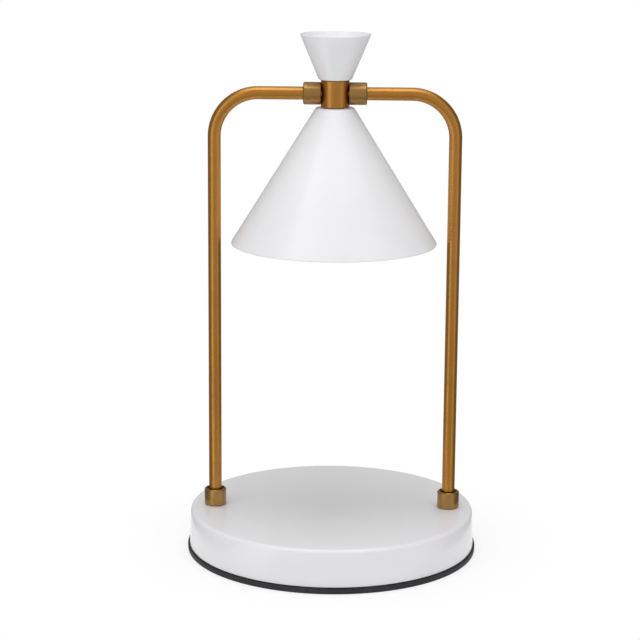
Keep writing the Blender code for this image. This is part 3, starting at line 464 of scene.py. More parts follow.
def brass_finish(name, bright, patina, grain, turned=True):
    """Aged brass: a mottled patina and fine lines, which run round a turning or along a tube."""
    brass = Finish(name)
    mottle = brass.noise(60.0, 4.0, 0.55)
    aged = brass.blended(brass.spread(mottle, 0.25, 0.60, 0.45, 1.0), patina, bright)
    scale, strength = (2600.0, 1.0) if turned else (1500.0, 0.5)
    lines = brass.noise(scale, 2.0, 0.7, grain)
    brass.colour(brass.blended(brass.spread(lines, *NOISE_SPAN, 0.0, 0.16 * strength), aged, patina))
    brass.roughness(mottle, 0.42, 0.36)
    brass.relief(lines, 0.002 * MM * strength)
    return brass.constants(metallic=1.0, coat_weight=0.6, coat_roughness=0.12, coat_ior=1.7).material


def rubber_finish(name, colour):
    """Moulded rubber with a fine grain and a little dust on it."""
    rubber = Finish(name)
    grain = rubber.noise(900.0, 4.0, 0.6)
    dust = rubber.noise(60.0, 5.0, 0.65)
    rubber.colour(rubber.blended(rubber.spread(dust, 0.5, 0.8, 0.0, 0.2), colour, (0.12, 0.12, 0.125)))
    rubber.roughness(grain, 0.52, 0.70)
    return rubber.relief(grain, 0.05 * MM).material


def steel_finish(name, colour):
    """Zinc plate with pale spangles."""
    steel = Finish(name)
    spangle = steel.spread(steel.cells(420.0), 0.0, 0.9, 0.0, 1.0)
    steel.colour(steel.blended(spangle, darker(colour, 0.82), colour))
    steel.roughness(steel.noise(260.0, 4.0), 0.30, 0.46)
    return steel.relief(steel.noise(1400.0, 3.0), 0.01 * MM).constants(metallic=1.0).material


def iron_finish(name, colour):
    """Sand cast iron."""
    iron = Finish(name)
    sand = iron.noise(520.0, 8.0, 0.7)
    iron.colour(iron.blended(iron.noise(60.0, 5.0), darker(colour, 0.6), colour))
    iron.roughness(sand, 0.62, 0.85)
    return iron.relief(sand, 0.25 * MM).constants(metallic=0.5).material


def ceramic_finish(name, colour):
    """Unglazed steatite with a fine grain."""
    ceramic = Finish(name)
    speck = ceramic.noise(700.0, 6.0, 0.65)
    ceramic.colour(ceramic.blended(ceramic.spread(speck, 0.35, 0.75, 0.0, 1.0), colour, darker(colour, 0.88)))
    ceramic.roughness(ceramic.noise(130.0, 3.0), 0.32, 0.45)
    return ceramic.relief(speck, 0.02 * MM).material


def plastic_finish(name, colour, grain, depth):
    """Moulded nylon or silicone."""
    plastic = Finish(name)
    cloud = plastic.noise(110.0, 4.0)
    plastic.colour(plastic.blended(cloud, darker(colour, 0.92), colour))
    texture = plastic.noise(grain, 3.0)
    plastic.roughness(texture, 0.42, 0.58)
    return plastic.relief(texture, depth).constants(subsurface_weight=0.06, subsurface_scale=MM).material


def mirror_finish(name, colour):
    """Vapour coated mirror with slight ripples."""
    mirror = Finish(name)
    ripple = mirror.noise(330.0, 3.0)
    mirror.colour(mirror.blended(ripple, darker(colour, 0.9), colour))
    mirror.roughness(ripple, 0.06, 0.14)
    return mirror.relief(ripple, 0.02 * MM).constants(metallic=1.0).material


def glass_finish(name, dimples):
    """Pressed clear glass; the dimples are its cells per metre."""
    glass = Finish(name)
    cells = glass.cells(dimples)
    glass.colour(glass.blended(glass.noise(80.0), (0.93, 0.95, 0.96), (0.97, 0.98, 0.99)))
    glass.roughness(cells, 0.03, 0.09, CELL_SPAN)
    glass.relief(cells, 0.25 * MM)
    return glass.constants(transmission_weight=1.0, ior=1.5).material


def make_finishes(colours):
    """Every finish that a piece wears."""
    paint_finish("satin_paint", colours.paint)
    brass_finish("upright_turned_brass", colours.brass, colours.patina, (0.02, 0.02, 1.0))
    brass_finish("upright_collar_brass", colours.collar_brass, colours.collar_patina, (0.02, 0.02, 1.0))
    brass_finish("level_collar_brass", colours.collar_brass, colours.collar_patina, (1.0, 0.02, 0.02))
    brass_finish("tube_brass", colours.brass, colours.patina, (1.0, 1.0, 0.03), False)
    rubber_finish("moulded_rubber", colours.rubber)
    steel_finish("plated_steel", colours.steel)
    iron_finish("sand_cast_iron", colours.iron)
    ceramic_finish("pressed_ceramic", colours.ceramic)
    plastic_finish("moulded_nylon", colours.nylon, 800.0, 0.015 * MM)
    plastic_finish("silicone_sleeve", colours.silicone, 1600.0, 0.03 * MM)
    mirror_finish("reflector_mirror", colours.mirror)
    glass_finish("pressed_lens_glass", 260.0)
    glass_finish("capsule_glass", 40.0)


def wear(item, look):
    """Gives an object one finish by name. All finishes are made when the first is worn."""
    if look not in bpy.data.materials:
        make_finishes(bpy.context.scene.warmer_lamp_colours)
    item.data.materials.clear()
    item.data.materials.append(bpy.data.materials[look])


# Studio

CAMERA_AZIMUTH = 1.288
CAMERA_ELEVATION = 12.669
CAMERA_ROLL = math.radians(0.43)
CAMERA_DISTANCE = 1.3133
CAMERA_TARGET = Vector((-0.008236, 0.0, 0.147697))
CAMERA_LENS = 118.28
CAMERA_SENSOR = 36.0
FLOOR_SIZE = 24.0
WHITE = (1.0, 1.0, 1.0, 1.0)
SIDE_CARD = ((0.13, 0.001), (0.75, 0.001), (0.75, 0.60), (0.45, 0.90))
GROUND_CARD = ((0.13, 0.001), (0.75, 0.001))
FRONT_CARD = ((0.75, 0.001), (0.75, 0.60), (0.45, 0.90))
REAR_CARD = ((0.13, 0.001), (0.75, 0.001), (0.75, 0.60), (0.42, 0.80))
TOP_CARD = ((0.0, 0.98), (0.55, 0.93))
TOP_FRONT_STRIP = ((0.0, 0.96), (0.36, 0.94))
TOP_REAR_STRIP = ((0.0, 0.96), (0.20, 0.955))

# Each card's name, first and last azimuth in degrees, brightness and profile
CARDS = (
    ("key_card", -60.0, -34.0, 1.25, SIDE_CARD),
    ("ground_card", -34.0, 42.0, 0.40, GROUND_CARD),
    ("front_card", -34.0, 42.0, 0.58, FRONT_CARD),
    ("fill_card", 42.0, 72.0, 0.75, SIDE_CARD),
    ("right_card", 72.0, 140.0, 0.20, REAR_CARD),
    ("rear_card", 140.0, 215.0, 0.36, REAR_CARD),
    ("left_card", 215.0, 300.0, 0.26, REAR_CARD),
    ("top_card", -180.0, 180.0, 0.8, TOP_CARD),
    ("top_front_strip", -90.0, 90.0, 2.4, TOP_FRONT_STRIP),
    ("top_rear_strip", 90.0, 270.0, 1.8, TOP_REAR_STRIP),
)
CARD_STEP = 6.0
PAPER_GREY = (0.92, 0.92, 0.92, 1.0)
SHADOW_CORE = 0.09
SHADOW_EDGE = 0.22
CORE_PLAINNESS = 0.70


def direction(azimuth, elevation):
    """Which way a place lies, at an azimuth from the front and an elevation in degrees."""
    azimuth, elevation = math.radians(azimuth), math.radians(elevation)
    level = math.cos(elevation)
    return Vector((math.sin(azimuth) * level, -math.cos(azimuth) * level, math.sin(elevation)))


def around(azimuth, elevation, distance):
    """A place at an azimuth, an elevation and a distance from the camera's target."""
    return CAMERA_TARGET + direction(azimuth, elevation) * distance


def add_camera():
    """The camera at the photograph's viewing angle."""
    back = direction(CAMERA_AZIMUTH, CAMERA_ELEVATION)
    level = (-back).cross(UP).normalized()
    upright = level.cross(-back)
    across = math.cos(CAMERA_ROLL) * level + math.sin(CAMERA_ROLL) * upright
    raised = -math.sin(CAMERA_ROLL) * level + math.cos(CAMERA_ROLL) * upright
    data = bpy.data.cameras.new("camera")
    data.lens = CAMERA_LENS
    data.sensor_width = CAMERA_SENSOR
    camera = bpy.data.objects.new("camera", data)
    bpy.context.collection.objects.link(camera)
    turn = Matrix((across, raised, back)).transposed().to_4x4()
    camera.matrix_world = Matrix.Translation(CAMERA_TARGET + back * CAMERA_DISTANCE) @ turn
    bpy.context.scene.camera = camera


def add_softbox(name, place, size, power):
    """A square lamp that faces the object. Reflections of it come from the cards."""
    data = bpy.data.lights.new(name, "AREA")
    data.size = size
    data.energy = power
    lamp = bpy.data.objects.new(name, data)
    bpy.context.collection.objects.link(lamp)
    turn = (place - CAMERA_TARGET).to_track_quat("Z", "Y").to_matrix().to_4x4()
    lamp.matrix_world = Matrix.Translation(place) @ turn
    lamp.visible_glossy = False
    return lamp


def seen_rays(nodes, links):
    """1 for the rays that show a background, from the camera, a reflection or glass."""
    path = nodes.new("ShaderNodeLightPath")
    total = path.outputs["Is Camera Ray"]
    for ray in ("Is Glossy Ray", "Is Transmission Ray"):
        total = maths(nodes, links, "MAXIMUM", total, path.outputs[ray])
    return total


def floor_finish():
    """White paper that takes the object's shadow near it and is plain white further out."""
    material = bpy.data.materials.new("studio_paper")
    nodes, links = emptied(material)
    paper = nodes.new("ShaderNodeBsdfDiffuse")
    paper.inputs["Color"].default_value = PAPER_GREY
    plain = nodes.new("ShaderNodeEmission")
    reach = nodes.new("ShaderNodeVectorMath")
    reach.operation = "LENGTH"
    links.new(nodes.new("ShaderNodeTexCoord").outputs["Object"], reach.inputs[0])
    far = nodes.new("ShaderNodeMapRange")
    far.interpolation_type = "SMOOTHSTEP"
    fill(far, {"From Min": SHADOW_CORE, "From Max": SHADOW_EDGE, "To Min": CORE_PLAINNESS})
    links.new(reach.outputs["Value"], far.inputs["Value"])
    share = maths(nodes, links, "MULTIPLY", far.outputs["Result"], seen_rays(nodes, links))
    mix = nodes.new("ShaderNodeMixShader")
    links.new(share, mix.inputs["Fac"])
    links.new(paper.outputs["BSDF"], mix.inputs[1])
    links.new(plain.outputs["Emission"], mix.inputs[2])
    links.new(mix.outputs["Shader"], nodes.new("ShaderNodeOutputMaterial").inputs["Surface"])
    return material


def add_floor():
    bpy.ops.object.select_all(action="DESELECT")
    bpy.ops.mesh.primitive_plane_add(size=FLOOR_SIZE, location=(0.0, 0.0, 0.0))
    floor = bpy.context.object
    floor.name = "studio_floor"
    floor.data.materials.append(floor_finish())


def add_card(name, start, end, brightness, profile):
    """A curved card that only reflections see, from one azimuth to another, over (radius, height) points."""
    steps = max(2, round((end - start) / CARD_STEP))
    outwards = direction(start, 0.0)
    card = drawn(name, [outwards * radius + UP * height for radius, height in profile])
    bpy.ops.mesh.spin(steps=steps, angle=math.radians(end - start), center=(0.0, 0.0, 0.0), axis=-UP)
    bpy.ops.object.mode_set(mode="OBJECT")
    material = bpy.data.materials.new(name)
    nodes, links = emptied(material)
    glow = nodes.new("ShaderNodeEmission")
    glow.inputs["Strength"].default_value = brightness
    links.new(glow.outputs["Emission"], nodes.new("ShaderNodeOutputMaterial").inputs["Surface"])
    card.data.materials.append(material)
    card.visible_camera = False
    card.visible_diffuse = False
    card.visible_shadow = False
    card.visible_transmission = False


def add_world(ambient):
    world = bpy.data.worlds.new("studio_world")
    bpy.context.scene.world = world
    nodes, links = emptied(world)
    plain = nodes.new("ShaderNodeBackground")
    soft = nodes.new("ShaderNodeBackground")
    for background in (plain, soft):
        background.inputs["Color"].default_value = WHITE
    soft.inputs["Strength"].default_value = ambient
    mix = nodes.new("ShaderNodeMixShader")
    links.new(seen_rays(nodes, links), mix.inputs["Fac"])
    links.new(soft.outputs["Background"], mix.inputs[1])
    links.new(plain.outputs["Background"], mix.inputs[2])
    links.new(mix.outputs["Shader"], nodes.new("ShaderNodeOutputWorld").inputs["Surface"])


class WARMERLAMP_OT_stage(Operator):
    """Sets up the floor, the lamps, the cards and the camera"""

    bl_idname = "warmer_lamp.stage"
    bl_label = "Stage"

    def execute(self, context):
        studio = context.scene.warmer_lamp_studio
        context.scene.view_settings.view_transform = "Standard"
        add_camera()
        add_floor()
        add_world(studio.ambient)
        add_softbox("key_softbox", around(-32.0, 32.0, 1.5), size=0.9, power=studio.key_power)
        add_softbox("fill_softbox", around(48.0, 28.0, 1.6), size=0.9, power=studio.fill_power)
        add_softbox("top_softbox", around(0.0, 88.0, 1.3), size=1.1, power=studio.top_power)
        for card in CARDS:
            add_card(*card)
        return {"FINISHED"}


# Base


class WARMERLAMP_OT_base(Operator):
    """Builds the painted base cover and its rubber pad"""

    bl_idname = "warmer_lamp.base"
    bl_label = "Base"

    def execute(self, context):
        sizes = context.scene.warmer_lamp_sizes
        steps = context.scene.warmer_lamp_studio.turning_steps
        foot = low("base_shell").z
        height = height_of("base_shell")
        sheet = sizes.base_sheet
        outline = (
            (0.0, height),
            (sizes.base_top_radius, height, sizes.base_edge),
            (sizes.base_foot_radius, 0.0, SMALL_ROUND),
            (sizes.base_foot_radius - sheet, 0.0, SMALL_ROUND),
            (sizes.base_top_radius - sheet, height - sheet, sizes.base_edge - sheet),
            (0.0, height - sheet),
        )
        cover = turning("base_cover", outline, (0.0, 0.0, foot), steps)
        reach = 6.0 * MM
        place = (0.0, sizes.base_top_radius - reach, middle_of("cord_grommet", "z"))
        drill(cover, GROMMET_NECK + CLEARANCE, 2 * reach, place, REAR)
        nipple = radius_of("foot_nipple_left") + CLEARANCE
        reach = 3.0 * MM
        for side in (-1, 1):
            drill(cover, nipple, 2 * reach, (side * ARM_X, 0.0, foot + height - reach))
        complete(cover, "base_shell", "satin_paint")

        recess = 0.8 * MM
        edge = 0.9 * MM
        outline = (
            (0.0, recess),
            (sizes.pad_foot, recess),
            (sizes.pad_foot, 0.0, SMALL_ROUND),
            (sizes.pad_radius, 0.0, edge),
            (sizes.pad_radius, sizes.pad_height, EASY_ROUND),
            (0.0, sizes.pad_height),
        )
        turned_piece("rubber_pad", "base_pad", outline, steps, "moulded_rubber")
        return {"FINISHED"}


class WARMERLAMP_OT_grommet(Operator):
    """Builds the rubber grommet in the rear wall of the base"""

    bl_idname = "warmer_lamp.grommet"
    bl_label = "Cord grommet"

    def execute(self, context):
        sizes = context.scene.warmer_lamp_sizes
        start = low("cord_grommet").y
        depth = high("cord_grommet").y - start
        flange = 1.1 * MM
        outline = (
            (sizes.grommet_bore, 0.0, SMALL_ROUND),
            (sizes.grommet_radius, 0.0, SMALL_ROUND),
            (sizes.grommet_radius, flange, SMALL_ROUND),
            (GROMMET_NECK, flange),
            (GROMMET_NECK, depth - flange),
            (sizes.grommet_radius, depth - flange),
            (sizes.grommet_radius, depth, SOFT_ROUND),
            (sizes.grommet_bore, depth, EASY_ROUND),
        )
        place = (0.0, start, middle_of("cord_grommet", "z"))
        grommet = turning("rubber_grommet", outline, place, COLLAR_STEPS, REAR)
        complete(grommet, "cord_grommet", "moulded_rubber")
        return {"FINISHED"}


# Arms and collars


class WARMERLAMP_OT_ferrules(Operator):
    """Turns the two foot ferrules"""

    bl_idname = "warmer_lamp.ferrules"
    bl_label = "Foot ferrules"

    def execute(self, context):
        sizes = context.scene.warmer_lamp_sizes
        bore = sizes.tube_radius + CLEARANCE
        nipple = radius_of("foot_nipple_left") + CLEARANCE
        chamfer = sizes.collar_chamfer
        recess_width = 1.5 * MM
        recess_depth = 1.6 * MM
        foot_round = 0.25 * MM
        recess = sizes.tube_radius + recess_width
        recess_floor = sizes.collar_length - recess_depth
        outline = (
            (nipple, 0.0),
            (sizes.collar_radius, 0.0, foot_round),
            (sizes.collar_radius, sizes.collar_length - chamfer, FINE_ROUND),
            (sizes.collar_radius - chamfer, sizes.collar_length, FINE_ROUND),
            (recess, sizes.collar_length, HAIR_ROUND),
            (recess, recess_floor, FINE_ROUND),
            (bore, recess_floor),
            (bore, COLLAR_WEB),
            (nipple, COLLAR_WEB),
        )
        for side, word in SIDES:
            node = "foot_ferrule_" + word
            place = (side * ARM_X, 0.0, low(node).z)
            ferrule = turning("ferrule_" + word, outline, place, COLLAR_STEPS)
            complete(ferrule, node, "upright_collar_brass")
        return {"FINISHED"}


class WARMERLAMP_OT_arms(Operator):
    """Bends the two tube arms"""

    bl_idname = "warmer_lamp.arms"
    bl_label = "Tube arms"

    def execute(self, context):
        sizes = context.scene.warmer_lamp_sizes
        for side, word in SIDES:
            node = "arm_" + word
            foot = low(node).z
            bend = sizes.bend_radius
            inner_end = low(node).x if side > 0 else -high(node).x
            bpy.ops.object.select_all(action="DESELECT")
            bpy.ops.mesh.primitive_circle_add(
                vertices=ROD_STEPS, radius=sizes.tube_radius, location=(side * ARM_X, 0.0, foot)
            )
            arm = bpy.context.object
            arm.name = "tube_arm_" + word
            arm.data.name = arm.name
            bpy.ops.object.transform_apply(location=True)
            bpy.ops.object.mode_set(mode="EDIT")
            bpy.ops.mesh.select_all(action="SELECT")
            rise = PIVOT_Z - bend - foot
            for _ in range(LEG_STEPS):
                bpy.ops.mesh.extrude_edges_move(TRANSFORM_OT_translate={"value": UP * rise / LEG_STEPS})
            centre = (side * (ARM_X - bend), 0.0, PIVOT_Z - bend)
            bpy.ops.mesh.spin(steps=BEND_STEPS, angle=FULL_TURN / 4, center=centre, axis=REAR * side)
            inwards = -side * (ARM_X - bend - inner_end)
            bpy.ops.mesh.extrude_edges_move(TRANSFORM_OT_translate={"value": RIGHT * inwards})
            weld()
            apply_modifier(arm, "SOLIDIFY", thickness=sizes.tube_wall, offset=-1.0, use_even_offset=True)
            complete(arm, node, "tube_brass")
        return {"FINISHED"}


class WARMERLAMP_OT_knuckles(Operator):
    """Turns the two knuckles on the tilt axis"""

    bl_idname = "warmer_lamp.knuckles"
    bl_label = "Knuckles"

    def execute(self, context):
        sizes = context.scene.warmer_lamp_sizes
        bore = sizes.tube_radius + CLEARANCE
        stub = STUB_RADIUS + CLEARANCE
        cavity = 5.0 * MM
        cavity_length = 3.4 * MM
        seat = COLLAR_WEB + cavity_length
        chamfer = sizes.collar_chamfer
        hub_gap = 0.05 * MM
        close = CLEARANCE - hub_gap
        outline = (
            (stub, -close),
            (sizes.collar_radius, -close, FINE_ROUND),
            (sizes.collar_radius, sizes.collar_length - chamfer, FINE_ROUND),
            (sizes.collar_radius - chamfer, sizes.collar_length, FINE_ROUND),
            (bore, sizes.collar_length, FINE_ROUND),
            (bore, seat),
            (cavity, seat),
            (cavity, COLLAR_WEB),
            (stub, COLLAR_WEB),
        )
        for side, word in SIDES:
            place = (side * KNUCKLE_X, 0.0, PIVOT_Z)
            knuckle = turning("brass_knuckle_" + word, outline, place, COLLAR_STEPS, RIGHT * side)
            complete(knuckle, "knuckle_" + word, "level_collar_brass")
        return {"FINISHED"}


# Head


class WARMERLAMP_OT_hub(Operator):
    """Turns the hub and the threaded rod through it"""

    bl_idname = "warmer_lamp.hub"
    bl_label = "Hub and rod"

    def execute(self, context):
        sizes = context.scene.warmer_lamp_sizes
        height = height_of("hub")
        edge = sizes.hub_edge
        bore = sizes.rod_radius + CLEARANCE
        outline = (
            (bore, 0.0),
            (sizes.hub_radius - edge, 0.0, HAIR_ROUND),
            (sizes.hub_radius, edge, HAIR_ROUND),
            (sizes.hub_radius, height - edge, HAIR_ROUND),
            (sizes.hub_radius - edge, height, HAIR_ROUND),
            (bore, height),
        )
        hub = turning("brass_hub", outline, (0.0, 0.0, low("hub").z), HUB_STEPS)
        reach = sizes.hub_radius + MM
        drill(hub, STUB_RADIUS + CLEARANCE, 2 * reach, (-reach, 0.0, PIVOT_Z), RIGHT)
        complete(hub, "hub", "upright_turned_brass")

        pitch = 1.0 * MM
        depth = 0.55 * MM
        rod_height = height_of("head_rod")
        outline = [(sizes.rod_bore, 0.0)]
        for turn in range(int(rod_height / pitch)):
            outline.append((sizes.rod_radius - depth, turn * pitch))
            outline.append((sizes.rod_radius, (turn + 0.5) * pitch))
        outline += [(sizes.rod_radius - depth, rod_height), (sizes.rod_bore, rod_height)]
        turned_piece("threaded_rod", "head_rod", outline, ROD_STEPS, "upright_turned_brass")
        return {"FINISHED"}


def hex_nut(name, across_flats, height, bore, place):
    """A nut: six flats, with the corners turned off at both ends."""
    place = Vector(place)
    flat = across_flats / 2
    corner = across_flats / math.sqrt(3.0)
    bpy.ops.object.select_all(action="DESELECT")
    middle = place + UP * height / 2
    bpy.ops.mesh.primitive_cylinder_add(vertices=6, radius=corner, depth=height, location=middle)
    nut = bpy.context.object
    nut.name = name
    nut.data.name = name
    bpy.ops.object.transform_apply(location=True)
    wide = corner + MM
    rise = NUT_SLOPE * (wide - flat)
    dome = NUT_SLOPE * MM
    outline = (
        (0.0, -dome),
        (flat, 0.0),
        (wide, rise),
        (wide, height - rise),
        (flat, height),
        (0.0, height + dome),
    )
    cut(nut, turning("nut_turning", outline, place, NUT_STEPS), "INTERSECT")
    drill(nut, bore, height + 2 * MM, place - UP * MM, steps=ROD_STEPS)
    return nut


class WARMERLAMP_OT_cup(Operator):
    """Spins the open cup and sets the washer and nut on its floor"""

    bl_idname = "warmer_lamp.cup"
    bl_label = "Cup"

    def execute(self, context):
        sizes = context.scene.warmer_lamp_sizes
        height = height_of("finial_cup")
        slope = (sizes.cup_rim_radius - sizes.cup_foot_radius) / height
        inset = sizes.cup_wall * math.hypot(1.0, slope)
        bore = sizes.rod_radius + CLEARANCE
        foot_round = 1.0 * MM
        outline = (
            (bore, 0.0),
            (sizes.cup_foot_radius, 0.0, foot_round),
            (sizes.cup_rim_radius, height, RIM_ROUND),
            (sizes.cup_rim_radius - inset, height, RIM_ROUND),
            (sizes.cup_foot_radius + slope * sizes.cup_floor - inset, sizes.cup_floor, BROAD_ROUND),
            (bore, sizes.cup_floor),
        )
        steps = context.scene.warmer_lamp_studio.turning_steps
        turned_piece("spun_cup", "finial_cup", outline, steps, "satin_paint")

        washer_radius = radius_of("cup_washer")
        washer_height = height_of("cup_washer")
        outline = (
            (bore, 0.0),
            (washer_radius, 0.0, HAIR_ROUND),
            (washer_radius, washer_height, SMALL_ROUND),
            (bore, washer_height, HAIR_ROUND),
        )
        turned_piece("plain_washer", "cup_washer", outline, NUT_STEPS, "plated_steel")
        nut = hex_nut("brass_nut", NUT_FLATS, height_of("cup_nut"), bore, (0.0, 0.0, low("cup_nut").z))
        complete(nut, "cup_nut", "upright_turned_brass", NUT_ANGLE)
        return {"FINISHED"}


class WARMERLAMP_OT_shade(Operator):
    """Spins the cone shade"""

    bl_idname = "warmer_lamp.shade"
    bl_label = "Shade"

    def execute(self, context):
        sizes = context.scene.warmer_lamp_sizes
        height = height_of("shade")
        slope = (sizes.shade_rim_radius - sizes.shade_top_radius) / height
        inset = sizes.shade_wall * math.hypot(1.0, slope)
        bore = sizes.rod_radius + CLEARANCE
        ceiling = height - sizes.shade_wall
        top_round = 1.6 * MM
        outline = (
            (bore, height),
            (sizes.shade_top_radius, height, top_round),
            (sizes.shade_rim_radius, 0.0, RIM_ROUND),
            (sizes.shade_rim_radius - inset, 0.0, RIM_ROUND),
            (sizes.shade_top_radius + slope * sizes.shade_wall - inset, ceiling, BROAD_ROUND),
            (bore, ceiling),
        )
        steps = context.scene.warmer_lamp_studio.turning_steps
        turned_piece("cone_shade", "shade", outline, steps, "satin_paint")
        return {"FINISHED"}


class WARMERLAMP_OT_lampholder(Operator):
    """Builds the lampholder, its steel cap and the two side screws"""

    bl_idname = "warmer_lamp.lampholder"
    bl_label = "Lampholder"

    def execute(self, context):
        sizes = context.scene.warmer_lamp_sizes
        wall = 1.0 * MM
        depth = height_of("holder_cap")
        top = high("holder_cap").z
        slope = (sizes.shade_rim_radius - sizes.shade_top_radius) / height_of("shade")
        flare = (sizes.holder_cap_radius - sizes.holder_cap_top) / slope
        inset = wall * math.hypot(1.0, slope)
        bore = sizes.rod_radius + CLEARANCE
        skirt = sizes.holder_cap_radius
        outline = (
            (bore, 0.0),
            (sizes.holder_cap_top, 0.0, SOFT_ROUND),
            (skirt, -flare, BROAD_ROUND),
            (skirt, -depth, SMALL_ROUND),
            (skirt - wall, -depth, SMALL_ROUND),
            (skirt - wall, -flare - (inset - wall) / slope),
            (sizes.holder_cap_top + slope * wall - inset, -wall),
            (bore, -wall),
        )
        cap = turning("holder_cap_shell", outline, (0.0, 0.0, top), HUB_STEPS)

        height = height_of("lampholder")
        edge = 1.0 * MM
        belt = 0.62 * height
        outline = (
            (0.0, height),
            (sizes.holder_radius, height, edge),
            (sizes.holder_radius, belt),
            (sizes.holder_radius, 0.0, edge),
            (0.0, 0.0),
        )
        foot = low("lampholder").z
        holder = turning("ceramic_lampholder", outline, (0.0, 0.0, foot), HUB_STEPS)
        screw_z = middle_of("holder_screw_front", "z")
        twist = math.radians(-22.0)
        slot_circle = 5.0 * MM
        slot_radius = 2.8 * MM
        slot_depth = 8.0 * MM
        slot_lead = 2.0 * MM
        screw_hole = 1.8 * MM
        hole_start = 9.2 * MM
        hole_depth = 12.0 * MM
        for side in (-1, 1):
            for share in (0.0, 0.25, 0.5, 0.75, 1.0):
                angle = twist * share + (0.0 if side > 0 else math.pi)
                middle = Vector((math.cos(angle), math.sin(angle), 0.0)) * slot_circle
                drill(holder, slot_radius, slot_lead + slot_depth, middle + UP * (foot - slot_lead))
            for item in (holder, cap):
                drill(item, screw_hole, hole_depth, (0.0, side * hole_start, screw_z), REAR * side)
        complete(holder, "lampholder", "pressed_ceramic")
        complete(cap, "holder_cap", "plated_steel")

        shank = 1.5 * MM
        head = 1.4 * MM
        head_radius = 2.8 * MM
        head_round = 0.9 * MM
        cross_width = 0.7 * MM
        cross_length = 3.6 * MM
        cross_depth = 1.6 * MM
        for side, word in ((-1, "front"), (1, "rear")):
            node = "holder_screw_" + word
            inner = high(node).y if side < 0 else low(node).y
            outer = low(node).y if side < 0 else high(node).y
            reach = abs(outer - inner)
            outline = (
                (0.0, 0.0),
                (shank, 0.0, FINE_ROUND),
                (shank, reach - head),
                (head_radius, reach - head, HAIR_ROUND),
                (head_radius, reach, head_round),
                (0.0, reach),
            )
            screw = turning("cap_screw_" + word, outline, (0.0, inner, screw_z), SCREW_STEPS, REAR * side)
            for width, height in ((cross_width, cross_length), (cross_length, cross_width)):
                bpy.ops.object.select_all(action="DESELECT")
                bpy.ops.mesh.primitive_cube_add(size=1.0, location=(0.0, outer, screw_z))
                slot = bpy.context.object
                slot.scale = (width, cross_depth, height)
                bpy.ops.object.transform_apply(location=True, scale=True)
                cut(screw, slot)
            complete(screw, node, "plated_steel")
        return {"FINISHED"}


# Bulb


def bowl(top_radius, face_radius, height):
    """A parabola from a throat down to a rim."""
    points = []
    for step in range(BOWL_STEPS + 1):
        radius = top_radius + (face_radius - top_radius) * step / BOWL_STEPS
        drop = (radius ** 2 - top_radius ** 2) / (face_radius ** 2 - top_radius ** 2)
        points.append((radius, height * (1.0 - drop)))
    return points


class WARMERLAMP_OT_bulb(Operator):
    """Builds the reflector bulb with its cap, pins, lens and capsule"""

    bl_idname = "warmer_lamp.bulb"
    bl_label = "Bulb"

    def execute(self, context):
        sizes = context.scene.warmer_lamp_sizes
        cap_height = height_of("bulb_cap")
        cap_round = 1.0 * MM
        shoulder = 0.55 * cap_height
        neck = 0.45 * cap_height
        outline = (
            (0.0, cap_height),
            (sizes.bulb_cap_radius, cap_height, cap_round),
            (sizes.bulb_cap_radius, shoulder, EASY_ROUND),
            (BULB_WAIST, neck, EASY_ROUND),
            (BULB_WAIST, 0.0, SMALL_ROUND),
            (0.0, 0.0),
        )
        cap = turning("ceramic_bulb_cap", outline, (0.0, 0.0, low("bulb_cap").z), NUT_STEPS)
        seat_depth = 4.0 * MM
        pin_radius = 1.5 * MM
        head = 3.2 * MM
        head_radius = 2.5 * MM
        for word in ("left", "right"):
            node = "bulb_pin_" + word
            reach = height_of(node)
            place = Vector((middle_of(node, "x"), 0.0, low(node).z))
            drill(cap, pin_radius + CLEARANCE, seat_depth, place - UP * CLEARANCE)
            outline = (
                (0.0, 0.0),
                (pin_radius, 0.0),
                (pin_radius, reach - head),
                (head_radius, reach - head, SMALL_ROUND),
                (head_radius, reach, SOFT_ROUND),
                (0.0, reach),
            )
            pin = turning("twist_pin_" + word, outline, place, SCREW_STEPS)
            complete(pin, node, "plated_steel")
        complete(cap, "bulb_cap", "pressed_ceramic")

        glass = 1.4 * MM
        rim = 3.0 * MM
        throat = 8.4 * MM
        bowl_height = height_of("bulb_reflector") - rim
        face = sizes.bulb_face_radius
        bore = radius_of("bulb_capsule") + CLEARANCE
        outline = [(radius, rim + height) for radius, height in bowl(BULB_WAIST, face, bowl_height)]
        outline += [(face, 0.0, EASY_ROUND), (face - glass, 0.0, EASY_ROUND)]
        inner = bowl(throat, face - glass, bowl_height - glass)
        outline += [(radius, rim + height) for radius, height in reversed(inner)]
        outline += [(bore, rim + bowl_height - glass), (bore, rim + bowl_height)]
        steps, look = REFLECTOR_STEPS, "reflector_mirror"
        turned_piece("faceted_reflector", "bulb_reflector", outline, steps, look, FACET_ANGLE)

        lens_radius = radius_of("bulb_lens")
        thick = height_of("bulb_lens")
        outline = (
            (0.0, 0.0),
            (lens_radius, 0.0, SMALL_ROUND),
            (lens_radius, thick, SMALL_ROUND),
            (0.0, thick),
        )
        turned_piece("pressed_lens", "bulb_lens", outline, HUB_STEPS, "pressed_lens_glass")

        radius = radius_of("bulb_capsule")
        height = height_of("bulb_capsule")
        angles = [math.radians(angle) for angle in range(0, 91, 10)]
        outline = [(radius * math.sin(angle), radius * (1.0 - math.cos(angle))) for angle in angles]
        outline += [(radius, height, SMALL_ROUND), (0.0, height)]
        turned_piece("glass_capsule", "bulb_capsule", outline, ROD_STEPS, "capsule_glass")
        return {"FINISHED"}


# Inner pieces, which keep their CAD shape

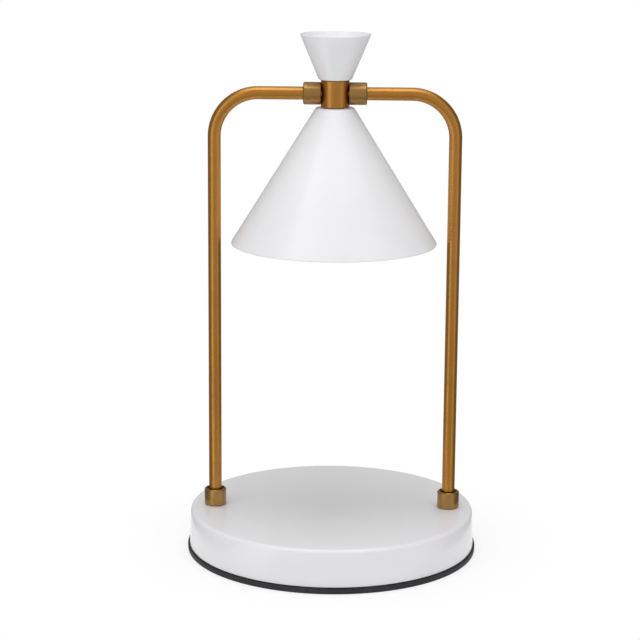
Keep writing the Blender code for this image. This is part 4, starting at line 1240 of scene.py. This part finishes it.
INNER_FINISHES = {
    "plated_steel": (
        "bottom_plate", "bottom_screw_1", "bottom_screw_2", "bottom_screw_3", "block_screw",
        "foot_nipple_left", "foot_nipple_right", "foot_washer_left", "foot_washer_right",
        "foot_nut_left", "foot_nut_right", "tilt_washer_left", "tilt_washer_right",
        "shade_washer", "shade_nut",
    ),
    "level_collar_brass": ("pivot_stub_left", "pivot_stub_right"),
    "sand_cast_iron": ("base_weight",),
    "moulded_nylon": ("terminal_block",),
    "silicone_sleeve": ("arm_lead", "head_lead"),
}


class WARMERLAMP_OT_inner_pieces(Operator):
    """Gives the pieces inside the lamp their finishes"""

    bl_idname = "warmer_lamp.inner_pieces"
    bl_label = "Inner pieces"

    def execute(self, context):
        for look, nodes in INNER_FINISHES.items():
            for node in nodes:
                wear(frame["nodes"][node], look)
        return {"FINISHED"}


class WARMERLAMP_PT_panel(Panel):
    """Lists the steps that build the lamp"""

    bl_idname = "WARMERLAMP_PT_panel"
    bl_label = "Candle warmer lamp"
    bl_space_type = "VIEW_3D"
    bl_region_type = "UI"
    bl_category = "Warmer Lamp"

    def draw(self, context):
        for step in STEPS:
            self.layout.operator(step.bl_idname)
        for settings in SETTINGS:
            box = self.layout.box()
            group = getattr(context.scene, settings)
            for key in group.bl_rna.properties.keys():
                if key not in ("rna_type", "name"):
                    box.prop(group, key)


SETTINGS = {
    "warmer_lamp_sizes": WarmerLampSizes,
    "warmer_lamp_colours": WarmerLampColours,
    "warmer_lamp_studio": WarmerLampStudio,
}
STEPS = (
    WARMERLAMP_OT_stage,
    WARMERLAMP_OT_base,
    WARMERLAMP_OT_grommet,
    WARMERLAMP_OT_ferrules,
    WARMERLAMP_OT_arms,
    WARMERLAMP_OT_knuckles,
    WARMERLAMP_OT_hub,
    WARMERLAMP_OT_cup,
    WARMERLAMP_OT_shade,
    WARMERLAMP_OT_lampholder,
    WARMERLAMP_OT_bulb,
    WARMERLAMP_OT_inner_pieces,
)
CLASSES = (*SETTINGS.values(), *STEPS, WARMERLAMP_PT_panel)


def register():
    for item in CLASSES:
        bpy.utils.register_class(item)
    for name, group in SETTINGS.items():
        setattr(bpy.types.Scene, name, PointerProperty(type=group))


def unregister():
    for name in SETTINGS:
        delattr(bpy.types.Scene, name)
    for item in reversed(CLASSES):
        bpy.utils.unregister_class(item)


def main():
    register()
    for step in STEPS:
        family, verb = step.bl_idname.split(".")
        getattr(getattr(bpy.ops, family), verb)()
    bpy.context.view_layer.update()


if __name__ == "__main__":
    main()
